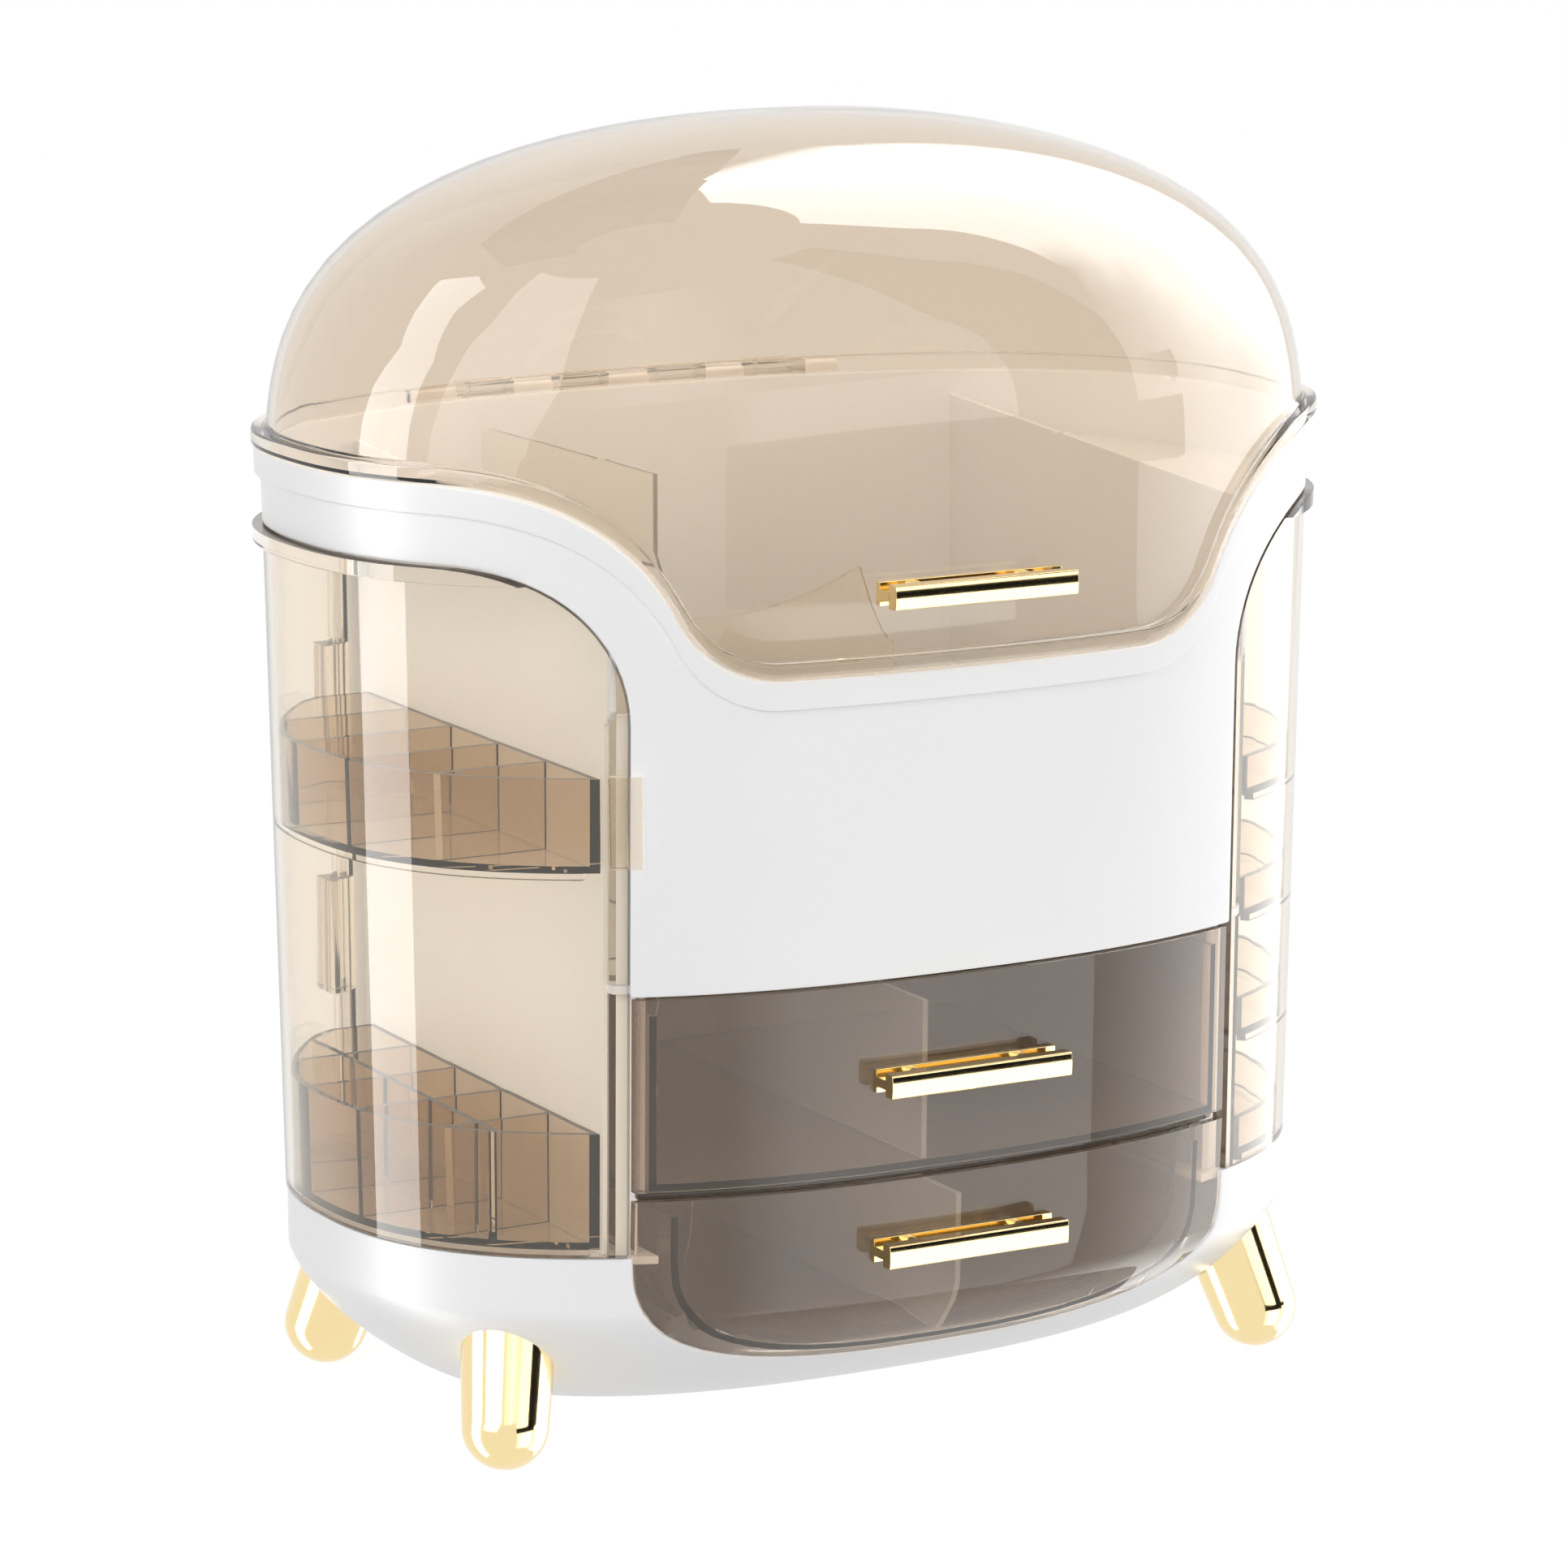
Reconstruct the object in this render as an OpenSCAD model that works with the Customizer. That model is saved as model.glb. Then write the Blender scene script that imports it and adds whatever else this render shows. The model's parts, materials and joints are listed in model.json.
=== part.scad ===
// Makeup organizer with a clear dome lid, two swing-out side doors and two drawers.
// Origin on the floor under the middle of the case, front towards -Y, millimetres.

/* [Case] */
// Width of the case at the seam above the base
case_w = 316; // [304:1:328]
// Depth of the case at the same seam
case_d = 203; // [197:1:209]
// How far each side leans out between the seam and the rim
case_lean = 4.2; // [2:0.1:6]
// Squareness of the oval plan, where 2 is an ellipse
oval_n = 2.41; // [2.3:0.01:2.5]
// Wall of the white shell
shell_wall = 2.6; // [2.2:0.1:3]
// Height of the seam between the base and the case
seam_z = 64; // [62:0.5:66]
// Underside of the white front panel
panel_z = 140.5; // [139:0.5:147]
// Thickness of the compartment floor and the side decks
floor_t = 2.4; // [1.8:0.1:3]
// Distance from the side edge of the drawer fronts out to the inner side walls
wall_step = 4.3; // [4:0.1:4.8]
// Thickness of the inner side walls
wall_t = 2; // [1.6:0.1:2.2]
// Height of the inner side walls at the back
wall_back_z = 280; // [275:0.5:283]
// Height of the inner side walls at the front
wall_front_z = 266.5; // [266:0.5:268]

/* [Rim] */
// Height of the rim at the sides and the back
rim_z = 286.5; // [285:0.5:291]
// Height of the rim where it dips at the front
front_z = 230; // [227:0.5:233]
// Half width of the level part of the dip
dip_half = 59; // [55:0.5:63]
// Radius of the curve at the foot of the dip
dip_r = 32.5; // [30:0.5:36]
// Radius of the curve where the dip meets the side rim
crest_r = 66.5; // [62:0.5:70]
// Height of the outward lip under the lid
lip_h = 8.5; // [7:0.5:10]
// How far the lip stands proud of the wall
lip_proud = 1.8; // [1.2:0.1:2.2]

/* [Base] */
// Underside of the base tub
tub_z = 9; // [7:0.5:11]
// Height at which the tub starts to curve under
turn_z = 47; // [45:0.5:49]
// How far the tub curves in underneath
tub_tuck = 47; // [42:1:50]
// Bend of that curve, where 2 is a quarter ellipse
tub_bend = 1.42; // [1.36:0.01:1.6]
// Step from the case wall back to the tub wall
tub_step = 0.5; // [0.3:0.1:0.8]
// Wall of the tub
tub_wall = 2.5; // [2.2:0.1:2.8]

/* [Lid] */
// Height of the dome above the level where it starts to curve
dome_h = 115; // [105:1:120]
// Depth of that level below the rim
dome_drop = 21.8; // [18:0.2:24]
// Wall of the lid
lid_wall = 2.2; // [2:0.1:2.8]
// Step from the case wall back to the dome
lid_step = 1.2; // [0.8:0.1:1.6]
// How far the lid flange stands proud of the case wall
flange_proud = 2.5; // [2.2:0.1:3]
// Height of the lid flange
flange_h = 4.6; // [4:0.1:5.4]
// Gap between the rim and the lid flange
seat_gap = 0.4; // [0.3:0.05:0.6]
// Spacing of the lid hinge knuckles
knuckle_pitch = 17; // [15:0.5:18]
// Number of lid hinge knuckles, odd so that both ends are on the case
knuckle_count = 9; // [5:2:9]
// Radius of the lid hinge knuckles
knuckle_r = 2.8; // [2.6:0.1:3.2]
// Gap between the lid flange and its hinge knuckles
knuckle_gap = 2.2; // [1:0.1:3]

/* [Doors] */
// Distance from the side edge of the drawer fronts out to the front edge of a door
door_step = 2.2; // [1.8:0.1:2.8]
// Height of the door tops
door_top = 263; // [259:0.5:264]
// Radius of the upper front corner of a door
door_corner_r = 44.5; // [38:0.5:50]
// Wall of a door
door_wall = 2.2; // [2:0.1:2.6]
// Gap round a door
door_gap = 0.5; // [0.4:0.05:0.6]
// Width of the thick strip along the front edge
edge_w = 5.6; // [4:0.1:5.8]
// Thickness of that strip
edge_t = 4.2; // [3.6:0.1:4.6]
// Width of the strip along the back edge
back_edge_w = 5; // [4:0.5:5.5]
// Thickness of the strip along the back edge
back_edge_t = 3.4; // [3:0.1:3.4]
// Height of the bead along the top of a door
bead_h = 4.5; // [3.5:0.1:5.5]
// How far the bead stands out at the side of the case
bead_proud = 3.3; // [2:0.1:4]
// Distance from the side edge of the drawer fronts out to a door hinge axis
hinge_step = 12.8; // [12.3:0.1:13.3]
// Radius of the door hinge knuckles
door_knuckle_r = 3; // [2.8:0.1:3.2]
// Radius of every hinge pin
pin_r = 1.3; // [1.2:0.05:1.4]
// Radial play round a hinge pin
pin_fit = 0.08; // [0.05:0.01:0.1]

/* [Racks] */
// Distance from the side edge of the drawer fronts out to the flat side of the racks
rack_step = 8; // [7.8:0.1:8.8]
// Wall of the racks
rack_wall = 1.8; // [1.5:0.1:2.2]
// Gap between a rack and its door
rack_gap = 0.3; // [0.3:0.05:0.5]
// Height of the left lower rack
low_rack_h = 34; // [28:1:40]
// Height of the left upper rack
high_rack_h = 27; // [22:1:32]
// Underside of the left upper rack
high_rack_z = 176.5; // [167:0.5:183]
// Height of the low trays in the right door
tray_h = 12; // [10:1:16]
// Spacing of the trays in the right door
tray_pitch = 37; // [34:0.5:39]
// Number of cross walls in each rack of the left door
cross_walls = 4; // [2:1:5]
// Height of the ledges that the racks stand on
ledge_h = 2; // [1.6:0.1:2.4]
// Width of those ledges
ledge_w = 2.4; // [1.6:0.1:3]

/* [Drawers] */
// Half width of the drawer fronts
front_half = 99.2; // [97:0.1:101]
// Thickness of the drawer fronts
front_t = 2.4; // [2:0.1:2.6]
// Height of the upper drawer front
upper_front_h = 56.5; // [54:0.5:58]
// Gap above the upper drawer front
reveal = 0.8; // [0.6:0.1:1]
// Gap between the two drawer fronts
shelf_reveal = 2.6; // [2.4:0.1:3]
// Underside of the lower drawer front
lower_front_z = 25.2; // [24:0.2:26.4]
// Height at which its underside starts to round
under_turn_z = 62; // [60:0.5:64]
// Roundness of the underside of the lower drawer, where 2 is an ellipse
under_n = 2.7; // [2.5:0.1:3]
// Gap between the lower drawer front and its notch in the tub
notch_gap = 0.6; // [0.4:0.1:0.8]
// Wall of the drawer boxes
box_wall = 2; // [1.6:0.1:2.4]
// Distance from the side edge of the fronts in to the upper drawer box
upper_inset = 4.6; // [4.2:0.1:5.2]
// Distance from the side edge of the fronts in to the lower drawer box
lower_inset = 10.7; // [10.2:0.1:12.2]
// Distance from the middle to the back of the drawer boxes
box_back = 66; // [60:1:68]
// Gap round the drawer boxes
slide_gap = 0.4; // [0.3:0.05:0.6]
// Wall of the drawer housing
housing_t = 2; // [1.6:0.1:2.1]
// Height of the drawer fronts above the walls of their boxes
box_drop = 5; // [4:0.5:8]

/* [Dividers] */
// Thickness of every divider
divider_t = 1.8; // [1.4:0.1:2.4]
// Distance from the middle to the tall divider
tall_x = 57; // [50:1:64]
// Height of the tall divider
tall_z = 278; // [267:1:282]
// Height of the swept divider at its low end
sweep_low_z = 242; // [235:1:247]
// Height of the swept divider at its peak
sweep_peak_z = 253; // [249:1:259]
// Distance of the swept divider in front of the middle
sweep_y = 60; // [54:1:66]

/* [Handles] */
// Length of a handle
handle_l = 60; // [50:1:66]
// Height of the front bar of a handle
handle_h = 7; // [6:0.5:8]
// How far a handle stands out from its front
handle_out = 11.5; // [10:0.5:12]
// Thickness of the front bar of a handle
bar_t = 4.4; // [3.6:0.2:5]
// Height of the lid handle centre above the front rim
lid_handle_up = 23; // [17:1:29]
// Distance between the two screws of a handle
screw_pitch = 36; // [28:1:42]

/* [Feet] */
// Distance from the sides of the case in to the middle of the feet
foot_in_x = 29.5; // [28:0.5:32]
// Distance from the front and the back of the case in to the middle of the feet
foot_in_y = 40.5; // [39:0.5:42]
// Radius of the round foot end
foot_r = 12.7; // [12:0.1:13.4]
// Radius of the foot where it meets the tub
foot_top_r = 14.6; // [13:0.1:15]
// Radius of the flat spot that the foot stands on
foot_flat_r = 4; // [3:0.5:5]
// Outward splay of the feet in degrees
foot_splay = 23; // [18:1:25]
// Direction of that splay in degrees, where 0 is sideways and 90 is straight to the front or the back
foot_turn = 57; // [40:1:70]

/* [Hidden] */

white = [0.95, 0.95, 0.94];
champagne = [0.90, 0.80, 0.64, 0.55];
smoke = [0.47, 0.41, 0.36, 0.7];
gold = [0.86, 0.70, 0.36];
steel = [0.75, 0.76, 0.78];

STEPS = 88;
EVEN_TURNS = [for (i = [0:STEPS - 1]) 360 * i / STEPS];
// The same with more turns on both sides of the dip, where the rim is steep
LID_TURNS = [for (i = [0:STEPS - 1]) each let (t = 360 * i / STEPS)
    abs(abs(t - 270) - 34) < 17 ? [t, t + 180 / STEPS] : [t]];
TUB_ANGLES = [90, 74, 60, 46, 32, 16, 0];
DOME_ANGLES = [6, 14, 24, 36, 48, 60, 71, 80, 86];
side_power = 2 / 2.07;
crown_power = 2 / 3.31;
far = 220;
lap = 1;
// Gaps between faces that rest on each other, that are assembled together, and that turn or slide
rest_gap = 0.1;
seat_fit = 0.3;
run_gap = 0.5;
// How much wider a hole is than the shank of its screw, in radius
screw_fit = 0.1;
pass_fit = 0.3;
$fn = 48;

half_w = case_w / 2;
half_d = case_d / 2;
door_x = front_half + door_step;
wall_x = front_half + wall_step;
hinge_x = front_half + hinge_step;
rack_x = front_half + rack_step;
upper_half = front_half - upper_inset;
lower_half = front_half - lower_inset;
rise = rim_z - front_z;
crest_x = dip_half + sqrt(pow(dip_r + crest_r, 2) - pow(rise - dip_r - crest_r, 2));
blend_x = dip_half + (crest_x - dip_half) * dip_r / (dip_r + crest_r);
rim_a = half_w * spread(rim_z);
rim_b = half_d * spread(rim_z);
housing_top = panel_z + 1;
floor_z = housing_top + rest_gap + floor_t;
deck_z = door_top + door_gap;
panel_x = door_x - door_gap;
return_top = front_z - lip_h;
// Depth behind the case wall that the doors take up, and of the jamb behind them
jamb_in = edge_t + 1;
jamb_out = jamb_in + wall_t;

dome_a = rim_a - lid_step;
dome_b = rim_b - lid_step;
dome_z = rim_z - dome_drop;
lid_axis_y = rim_b + flange_proud + knuckle_gap + knuckle_r;
lid_axis_z = rim_z + seat_gap / 2;
knuckle_play = 0.8;
knuckle_l = knuckle_pitch - knuckle_play;
knuckle_arm = 16;
arm_drop = 5;

hinge_y = wall_y(hinge_x, door_top) + door_knuckle_r + run_gap;
hinge_split = 1;
hinge_up = 10;
hinge_down = 4;
hinge_count = 5;
hinge_z = seam_z + hinge_up;
hinge_pitch = (door_top - bead_h - hinge_down - hinge_z) / hinge_count;
hinge_l = hinge_pitch - knuckle_play;
case_arm = 7;
door_arm = 8;
arm_depth = 10;
bead_front = 0.4;
bottom_rack_z = seam_z + door_gap + ledge_h;
rack_in_front = 20;
rack_in_rear = 30;
rack_front = half_d - rack_in_front;
rack_rear = half_d - rack_in_rear;
rack_notch = 3;
long_step = 23;
TRAY_Z = [for (i = [0:3]) bottom_rack_z + i * tray_pitch];
tab_reach = 4.4;
tab_t = 2.2;
tab_up = 1.5;

upper_top = panel_z - reveal;
upper_z = upper_top - upper_front_h;
box_z = upper_z + slide_gap / 2;
lower_top = upper_z - shelf_reveal;
lower_box_z = lower_front_z + housing_t + 2 * slide_gap;
lower_box_top = lower_top - box_drop;
housing_in_front = 27.5;
housing_front = housing_in_front - half_d;
back_gap = 2;
housing_back = box_back + back_gap + housing_t;
bay_half = lower_half + slide_gap + housing_t + run_gap;
cut_back = -20;
deck_t = 2.4;
upper_divider_x = -12;
divider_drop = 2;
sweep_peak_x = -11;
sweep_fall = 1.6;

upper_handle_z = upper_z + upper_front_h / 2;
lower_handle_drop = 19.7;
lower_handle_z = lower_top - lower_handle_drop;
lid_handle_z = front_z + lid_handle_up;
upper_face = half_d * spread(upper_handle_z);
lower_face = half_d - tub_step;
handle_base_t = 2;
web_t = 2.8;
post_r = 2.9;
bar_round = 1.5;
screw_r = 1.2;
screw_depth = 7;
screw_head_r = 2.6;
screw_head_h = 1.8;
head_gap = 0.7;

foot_x = half_w - foot_in_x;
foot_y = half_d - foot_in_y;
foot_z = sqrt(foot_r * foot_r - foot_flat_r * foot_flat_r);
foot_l = 38;
foot_boss = 31.5;
foot_boss_r = 6.5;
foot_boss_low = 16;
foot_screw_r = 1.6;
foot_screw_low = 12;
foot_head_r = 3.4;
foot_head_h = 2.4;
case_screw_r = 1.3;
case_screw_low = 13;
case_screw_high = 15;
case_screw_z = seam_z - case_screw_low;
case_head_r = 2.9;
case_head_h = 2.2;
case_boss_r = 4.2;
case_boss_in = 2.4;
case_boss_in_y = 56.5;
case_boss_y = half_d - case_boss_in_y;
post_boss_r = 3.2;
post_boss_h = 18;
CASE_BOSSES = [for (sx = [-1, 1]) for (sy = [-1, 1]) [sx * (wall_x - case_boss_in), sy * case_boss_y]];

// How much larger the leaning case is at a height than at the seam
function spread(z) = 1 + case_lean / half_w * (z - seam_z) / (rim_z - seam_z);

function power(v, p) = sign(v) * pow(abs(v), p);

// Level ring of the oval plan at a height
function level(a, b, z, turns = EVEN_TURNS) = [for (t = turns)
    [a * power(cos(t), 2 / oval_n), b * power(sin(t), 2 / oval_n), z]];

// Ring on the case wall, pushed out by across in X and by along in Y
function wall_ring(z, across, along) =
    level(half_w * spread(z) + across, half_d * spread(z) + along, z);

// Y of the case wall at a given X and height
function wall_y(x, z) =
    half_d * spread(z) * pow(1 - pow(x / half_w / spread(z), oval_n), 1 / oval_n);

// Height at x of a line parallel to the front rim: level, dipping through two joined arcs
function rim_at(x, gap = 0) =
    let (u = abs(x), low_r = dip_r - gap, high_r = crest_r + gap)
    u <= dip_half ? front_z + gap :
    u < dip_half + (crest_x - dip_half) * low_r / (low_r + high_r) ?
        front_z + dip_r - sqrt(pow(low_r, 2) - pow(u - dip_half, 2)) :
    u < crest_x ? rim_z - crest_r + sqrt(pow(high_r, 2) - pow(crest_x - u, 2)) : rim_z + gap;

// Lid ring that follows the rim at the seat gap, lifted by up
function rim_ring(a, b, up) = [for (p = level(a, b, 0, LID_TURNS))
    [p[0], p[1], (p[1] < 0 ? rim_at(p[0], seat_gap) : rim_z + seat_gap) + up]];

// Lid ring at crown angle u, drawn in by skin
function dome_ring(u, skin) = let (s = pow(cos(u), side_power))
    level((dome_a - skin) * s, (dome_b - skin) * s,
        dome_z + (dome_h - skin) * pow(sin(u), crown_power), LID_TURNS);

// Ring of the tub at curve angle u, drawn in by skin
function tub_ring(u, skin) =
    let (tuck = tub_step + skin + tub_tuck * (1 - pow(cos(u), 2 / tub_bend)))
    level(half_w - tuck, half_d - tuck,
        turn_z - (turn_z - tub_z - skin) * pow(sin(u), 2 / tub_bend));

// Stacks rings of equal length into one closed solid
module loft(rings) {
    n = len(rings[0]);
    m = len(rings);
    polyhedron(
        points = [for (r = rings) each r],
        faces = concat(
            [[for (i = [0:n - 1]) i]],
            [for (j = [0:m - 2]) for (i = [0:n - 1]) let (k = (i + 1) % n)
                each [[j * n + i, (j + 1) * n + i, (j + 1) * n + k],
                    [j * n + i, (j + 1) * n + k, j * n + k]]],
            [[for (i = [n - 1:-1:0]) (m - 1) * n + i]]),
        convexity = 12);
}

// Solid slice of the case between two heights
module slice(z0, z1, across = 0, along = undef) {
    deep = is_undef(along) ? across : along;
    loft([wall_ring(z0, across, deep), wall_ring(z1, across, deep)]);
}

// Solid of the tub up to the seam, or on to z1 along the case wall, drawn in by skin
module tub_solid(skin, z1 = seam_z) {
    loft(concat([for (u = TUB_ANGLES) tub_ring(u, skin)],
        [wall_ring(seam_z, -skin - tub_step, -skin - tub_step)],
        z1 > seam_z ? [wall_ring(z1, -skin, -skin)] : []));
}

// Box between two corners
module span(low, high) {
    translate(low)
        cube(high - low);
}

// Extrudes a front elevation from y0 to y1
module elevation(y0, y1) {
    translate([0, y1, 0])
        rotate([90, 0, 0])
            linear_extrude(y1 - y0, convexity = 10)
                children();
}

// Repeats a shape on both sides of the middle
module both_sides() {
    children();
    mirror([1, 0, 0])
        children();
}

// Everything under the front rim line, lowered by drop
module under_rim(drop) {
    turn = asin((blend_x - dip_half) / dip_r);
    right = concat(
        [for (k = [0:7]) dip_half + dip_r * sin(turn * k / 7)],
        [for (k = [1:9]) crest_x - crest_r * sin(turn * (1 - k / 9))]);
    polygon(concat([[-far, -lap], [-far, rim_z - drop]],
        [for (k = [len(right) - 1:-1:0]) [-right[k], rim_at(right[k]) - drop]],
        [for (x = right) [x, rim_at(x) - drop]],
        [[far, rim_z - drop], [far, -lap]]));
}

// Everything under the rim all round, lowered by drop
module rim_zone(drop) {
    elevation(-far, lap)
        under_rim(drop);
    span([-far, 0, -lap], [far, far, rim_z - drop]);
}

// Front outline of the right door, grown by grow
module door_front(grow) {
    r = door_corner_r + grow;
    low = grow > 0 ? seam_z - lap : seam_z + door_gap;
    top = door_top + grow;
    translate([door_x - grow + r, low])
        square([far, top - low]);
    translate([door_x - grow, low])
        square([far, top - low - r]);
    translate([door_x - grow + r, top - r])
        circle(r, $fn = 96);
}

// Outline of the lower drawer: straight sides over a rounded underside
module under_outline(half, low, top, grow) {
    polygon(concat([[half + grow, top]],
        [for (a = [0:7.5:180]) [(half + grow) * power(cos(a), 2 / under_n),
            under_turn_z - (under_turn_z - low + grow) * pow(sin(a), 2 / under_n)]],
        [[-half - grow, top]]));
}

// White shell with its lip and the openings for the doors and the drawers
module white_shell() {
    difference() {
        union() {
            intersection() {
                slice(seam_z, rim_z + lap);
                rim_zone(0);
            }
            difference() {
                intersection() {
                    slice(return_top - lip_h, rim_z + lap, lip_proud);
                    rim_zone(0);
                }
                rim_zone(lip_h);
            }
        }
        slice(seam_z - lap, rim_z + 2 * lap, -shell_wall);
        both_sides()
            elevation(-far, 0)
                door_front(door_gap);
        both_sides()
            span([hinge_x - hinge_split, -lap, seam_z - lap], [far, far, deck_z]);
        span([-half_w, -far, seam_z - lap], [half_w, 0, panel_z]);
    }
}

// Inner side walls, edge returns and jambs, side decks and compartment floor
module white_inner() {
    intersection() {
        slice(seam_z, rim_z, -shell_wall / 2);
        difference() {
            union() {
                both_sides()
                    translate([wall_x, 0, 0])
                        rotate([90, 0, 90])
                            linear_extrude(wall_t)
                                polygon([[-rim_b, seam_z], [-rim_b, wall_front_z],
                                    [rim_b, wall_back_z], [rim_b, seam_z]]);
                both_sides()
                    span([wall_x, -far, deck_z], [far, far, deck_z + floor_t]);
                span([-wall_x - lap, -far, floor_z - floor_t], [wall_x + lap, far, floor_z]);
            }
            both_sides()
                difference() {
                    elevation(-far, 0)
                        door_front(door_gap);
                    slice(seam_z - lap, rim_z + lap, -jamb_in);
                }
        }
    }
    difference() {
        union() {
            intersection() {
                slice(panel_z, return_top, -shell_wall / 2);
                both_sides()
                    span([panel_x - wall_t, -far, panel_z], [panel_x, 0, return_top]);
            }
            intersection() {
                slice(seam_z, return_top, -jamb_in);
                both_sides()
                    span([front_half + lap / 2, -far, seam_z], [wall_x + wall_t, 0, return_top]);
            }
        }
        slice(seam_z - lap, rim_z, -jamb_out);
    }
    for (p = CASE_BOSSES)
        translate([p[0], p[1], seam_z])
            difference() {
                cylinder(r = post_boss_r, h = post_boss_h);
                translate([0, 0, -lap])
                    cylinder(r = case_screw_r + screw_fit / 2, h = post_boss_h);
            }
}

// Lid hinge knuckles first, first + 2 and so on, with arms from low to high
module lid_knuckles(first, low, high) {
    difference() {
        for (i = [first:2:knuckle_count - 1])
            translate([(i - (knuckle_count - 1) / 2) * knuckle_pitch, lid_axis_y, lid_axis_z]) {
                rotate([0, 90, 0])
                    cylinder(r = knuckle_r, h = knuckle_l, center = true);
                span([-knuckle_l / 2, -knuckle_arm, low], [knuckle_l / 2, 0, high]);
            }
        slice(front_z, rim_z + 2 * knuckle_r, -lid_step - lap / 2);
        lid_pin(pin_r + pin_fit, knuckle_count * knuckle_pitch);
    }
}

module lid_pin(r, l) {
    translate([0, lid_axis_y, lid_axis_z])
        rotate([0, 90, 0])
            cylinder(r = r, h = l, center = true);
}

// Right door hinge knuckles first, first + 2 and so on, with arms towards side
module door_knuckles(first, side) {
    difference() {
        for (i = [first:2:hinge_count - 1])
            translate([hinge_x, hinge_y, hinge_z + i * hinge_pitch]) {
                cylinder(r = door_knuckle_r, h = hinge_l);
                span([min(0, side), -arm_depth, 0], [max(0, side), 0, hinge_l]);
            }
        slice(seam_z, door_top, -door_wall / 2);
        door_pin(pin_r + pin_fit);
    }
}

module door_pin(r) {
    translate([hinge_x, hinge_y, hinge_z - lap])
        cylinder(r = r, h = hinge_count * hinge_pitch + 2 * lap);
}

module upper_body() {
    color(white) {
        white_shell();
        white_inner();
        lid_knuckles(0, -knuckle_r - arm_drop, -seat_gap);
        both_sides()
            door_knuckles(0, -case_arm);
    }
}

// Places children on the axis of a foot, in the quarter given by sx and sy
module on_foot(sx, sy) {
    translate([sx * foot_x, sy * foot_y, foot_z])
        rotate([0, 0, atan2(sy * sin(foot_turn), sx * cos(foot_turn))])
            rotate([0, -foot_splay, 0])
                children();
}

module each_foot() {
    for (sx = [-1, 1])
        for (sy = [-1, 1])
            on_foot(sx, sy)
                children();
}

// Tub with its hollow cut round the screw bosses and the ledge for the deck
module base_tub() {
    color(white)
        difference() {
            tub_solid(0);
            difference() {
                tub_solid(tub_wall, seam_z + lap);
                for (p = CASE_BOSSES)
                    translate([p[0], p[1], 0])
                        cylinder(r = case_boss_r, h = seam_z - deck_t);
                each_foot()
                    translate([0, 0, foot_boss_low])
                        cylinder(r = foot_boss_r, h = foot_boss - foot_boss_low);
                difference() {
                    span([-far, cut_back, seam_z - deck_t - ledge_h], [far, far, seam_z - deck_t]);
                    slice(tub_z, seam_z, -tub_step - tub_wall - ledge_w);
                }
            }
            elevation(-far, cut_back)
                under_outline(front_half, lower_front_z, seam_z + lap, notch_gap);
            for (p = CASE_BOSSES)
                translate([p[0], p[1], 0]) {
                    cylinder(r = case_head_r + seat_fit, h = case_screw_z);
                    cylinder(r = case_screw_r + screw_fit, h = seam_z);
                }
            each_foot()
                cylinder(r = foot_screw_r + screw_fit, h = foot_boss + lap);
        }
}

module base_deck() {
    color(white)
        difference() {
            slice(seam_z - deck_t, seam_z, -tub_step - tub_wall - seat_fit);
            span([-bay_half, -far, 0], [bay_half, housing_back + run_gap, far]);
            for (p = CASE_BOSSES)
                translate([p[0], p[1], 0])
                    cylinder(r = case_screw_r + screw_fit, h = far);
        }
}

// Front elevation of the drawer housing, solid, grown from the bays by grow
module bays(grow, low, top) {
    under_outline(lower_half, lower_box_z, lower_top, slide_gap + grow);
    translate([-upper_half - slide_gap - grow, low])
        square([2 * (upper_half + slide_gap + grow), top - low]);
}

module drawer_housing() {
    top = housing_top;
    shelf_top = upper_z - slide_gap / 2;
    color(smoke)
        intersection() {
            slice(tub_z, top, -front_t - run_gap - seat_fit);
            union() {
                elevation(housing_front, housing_back)
                    difference() {
                        bays(housing_t, seam_z, lower_top);
                        under_outline(lower_half, lower_box_z, lower_top, slide_gap);
                        both_sides()
                            translate([bay_half, seam_z - lap])
                                square([upper_half + slide_gap - bay_half, lower_top - seam_z + lap]);
                    }
                elevation(-far, housing_back)
                    difference() {
                        bays(housing_t, lower_top, top);
                        under_outline(lower_half, 0, lower_top, far);
                        bays(0, shelf_top, top + lap);
                    }
                elevation(housing_back - housing_t, housing_back)
                    bays(housing_t, seam_z, top);
            }
        }
}

module top_insert() {
    fall = sweep_peak_z - front_z;
    side = wall_x - 2 * seat_fit;
    steps = 6;
    color(champagne)
        intersection() {
            slice(floor_z, rim_z, -jamb_out - 2 * seat_fit);
            union() {
                span([-side, -far, floor_z], [side, far, floor_z + divider_t]);
                translate([-tall_x - divider_t / 2, 0, 0]) {
                    span([0, cut_back, floor_z], [divider_t, far, tall_z]);
                    span([0, -sweep_y, floor_z], [divider_t, cut_back + lap, front_z]);
                }
                elevation(-sweep_y, -sweep_y + divider_t)
                    polygon(concat([[-side, floor_z], [-side, sweep_low_z]],
                        [for (k = [0:steps]) let (s = k / steps) [-tall_x + (tall_x + sweep_peak_x) * s,
                            sweep_low_z + (sweep_peak_z - sweep_low_z) * s * s]],
                        [for (k = [1:steps]) let (s = k / steps) [sweep_peak_x * (1 - s),
                            sweep_peak_z - fall * (1 - pow(1 - s, sweep_fall))]],
                        [[0, floor_z]]));
            }
        }
}

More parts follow.
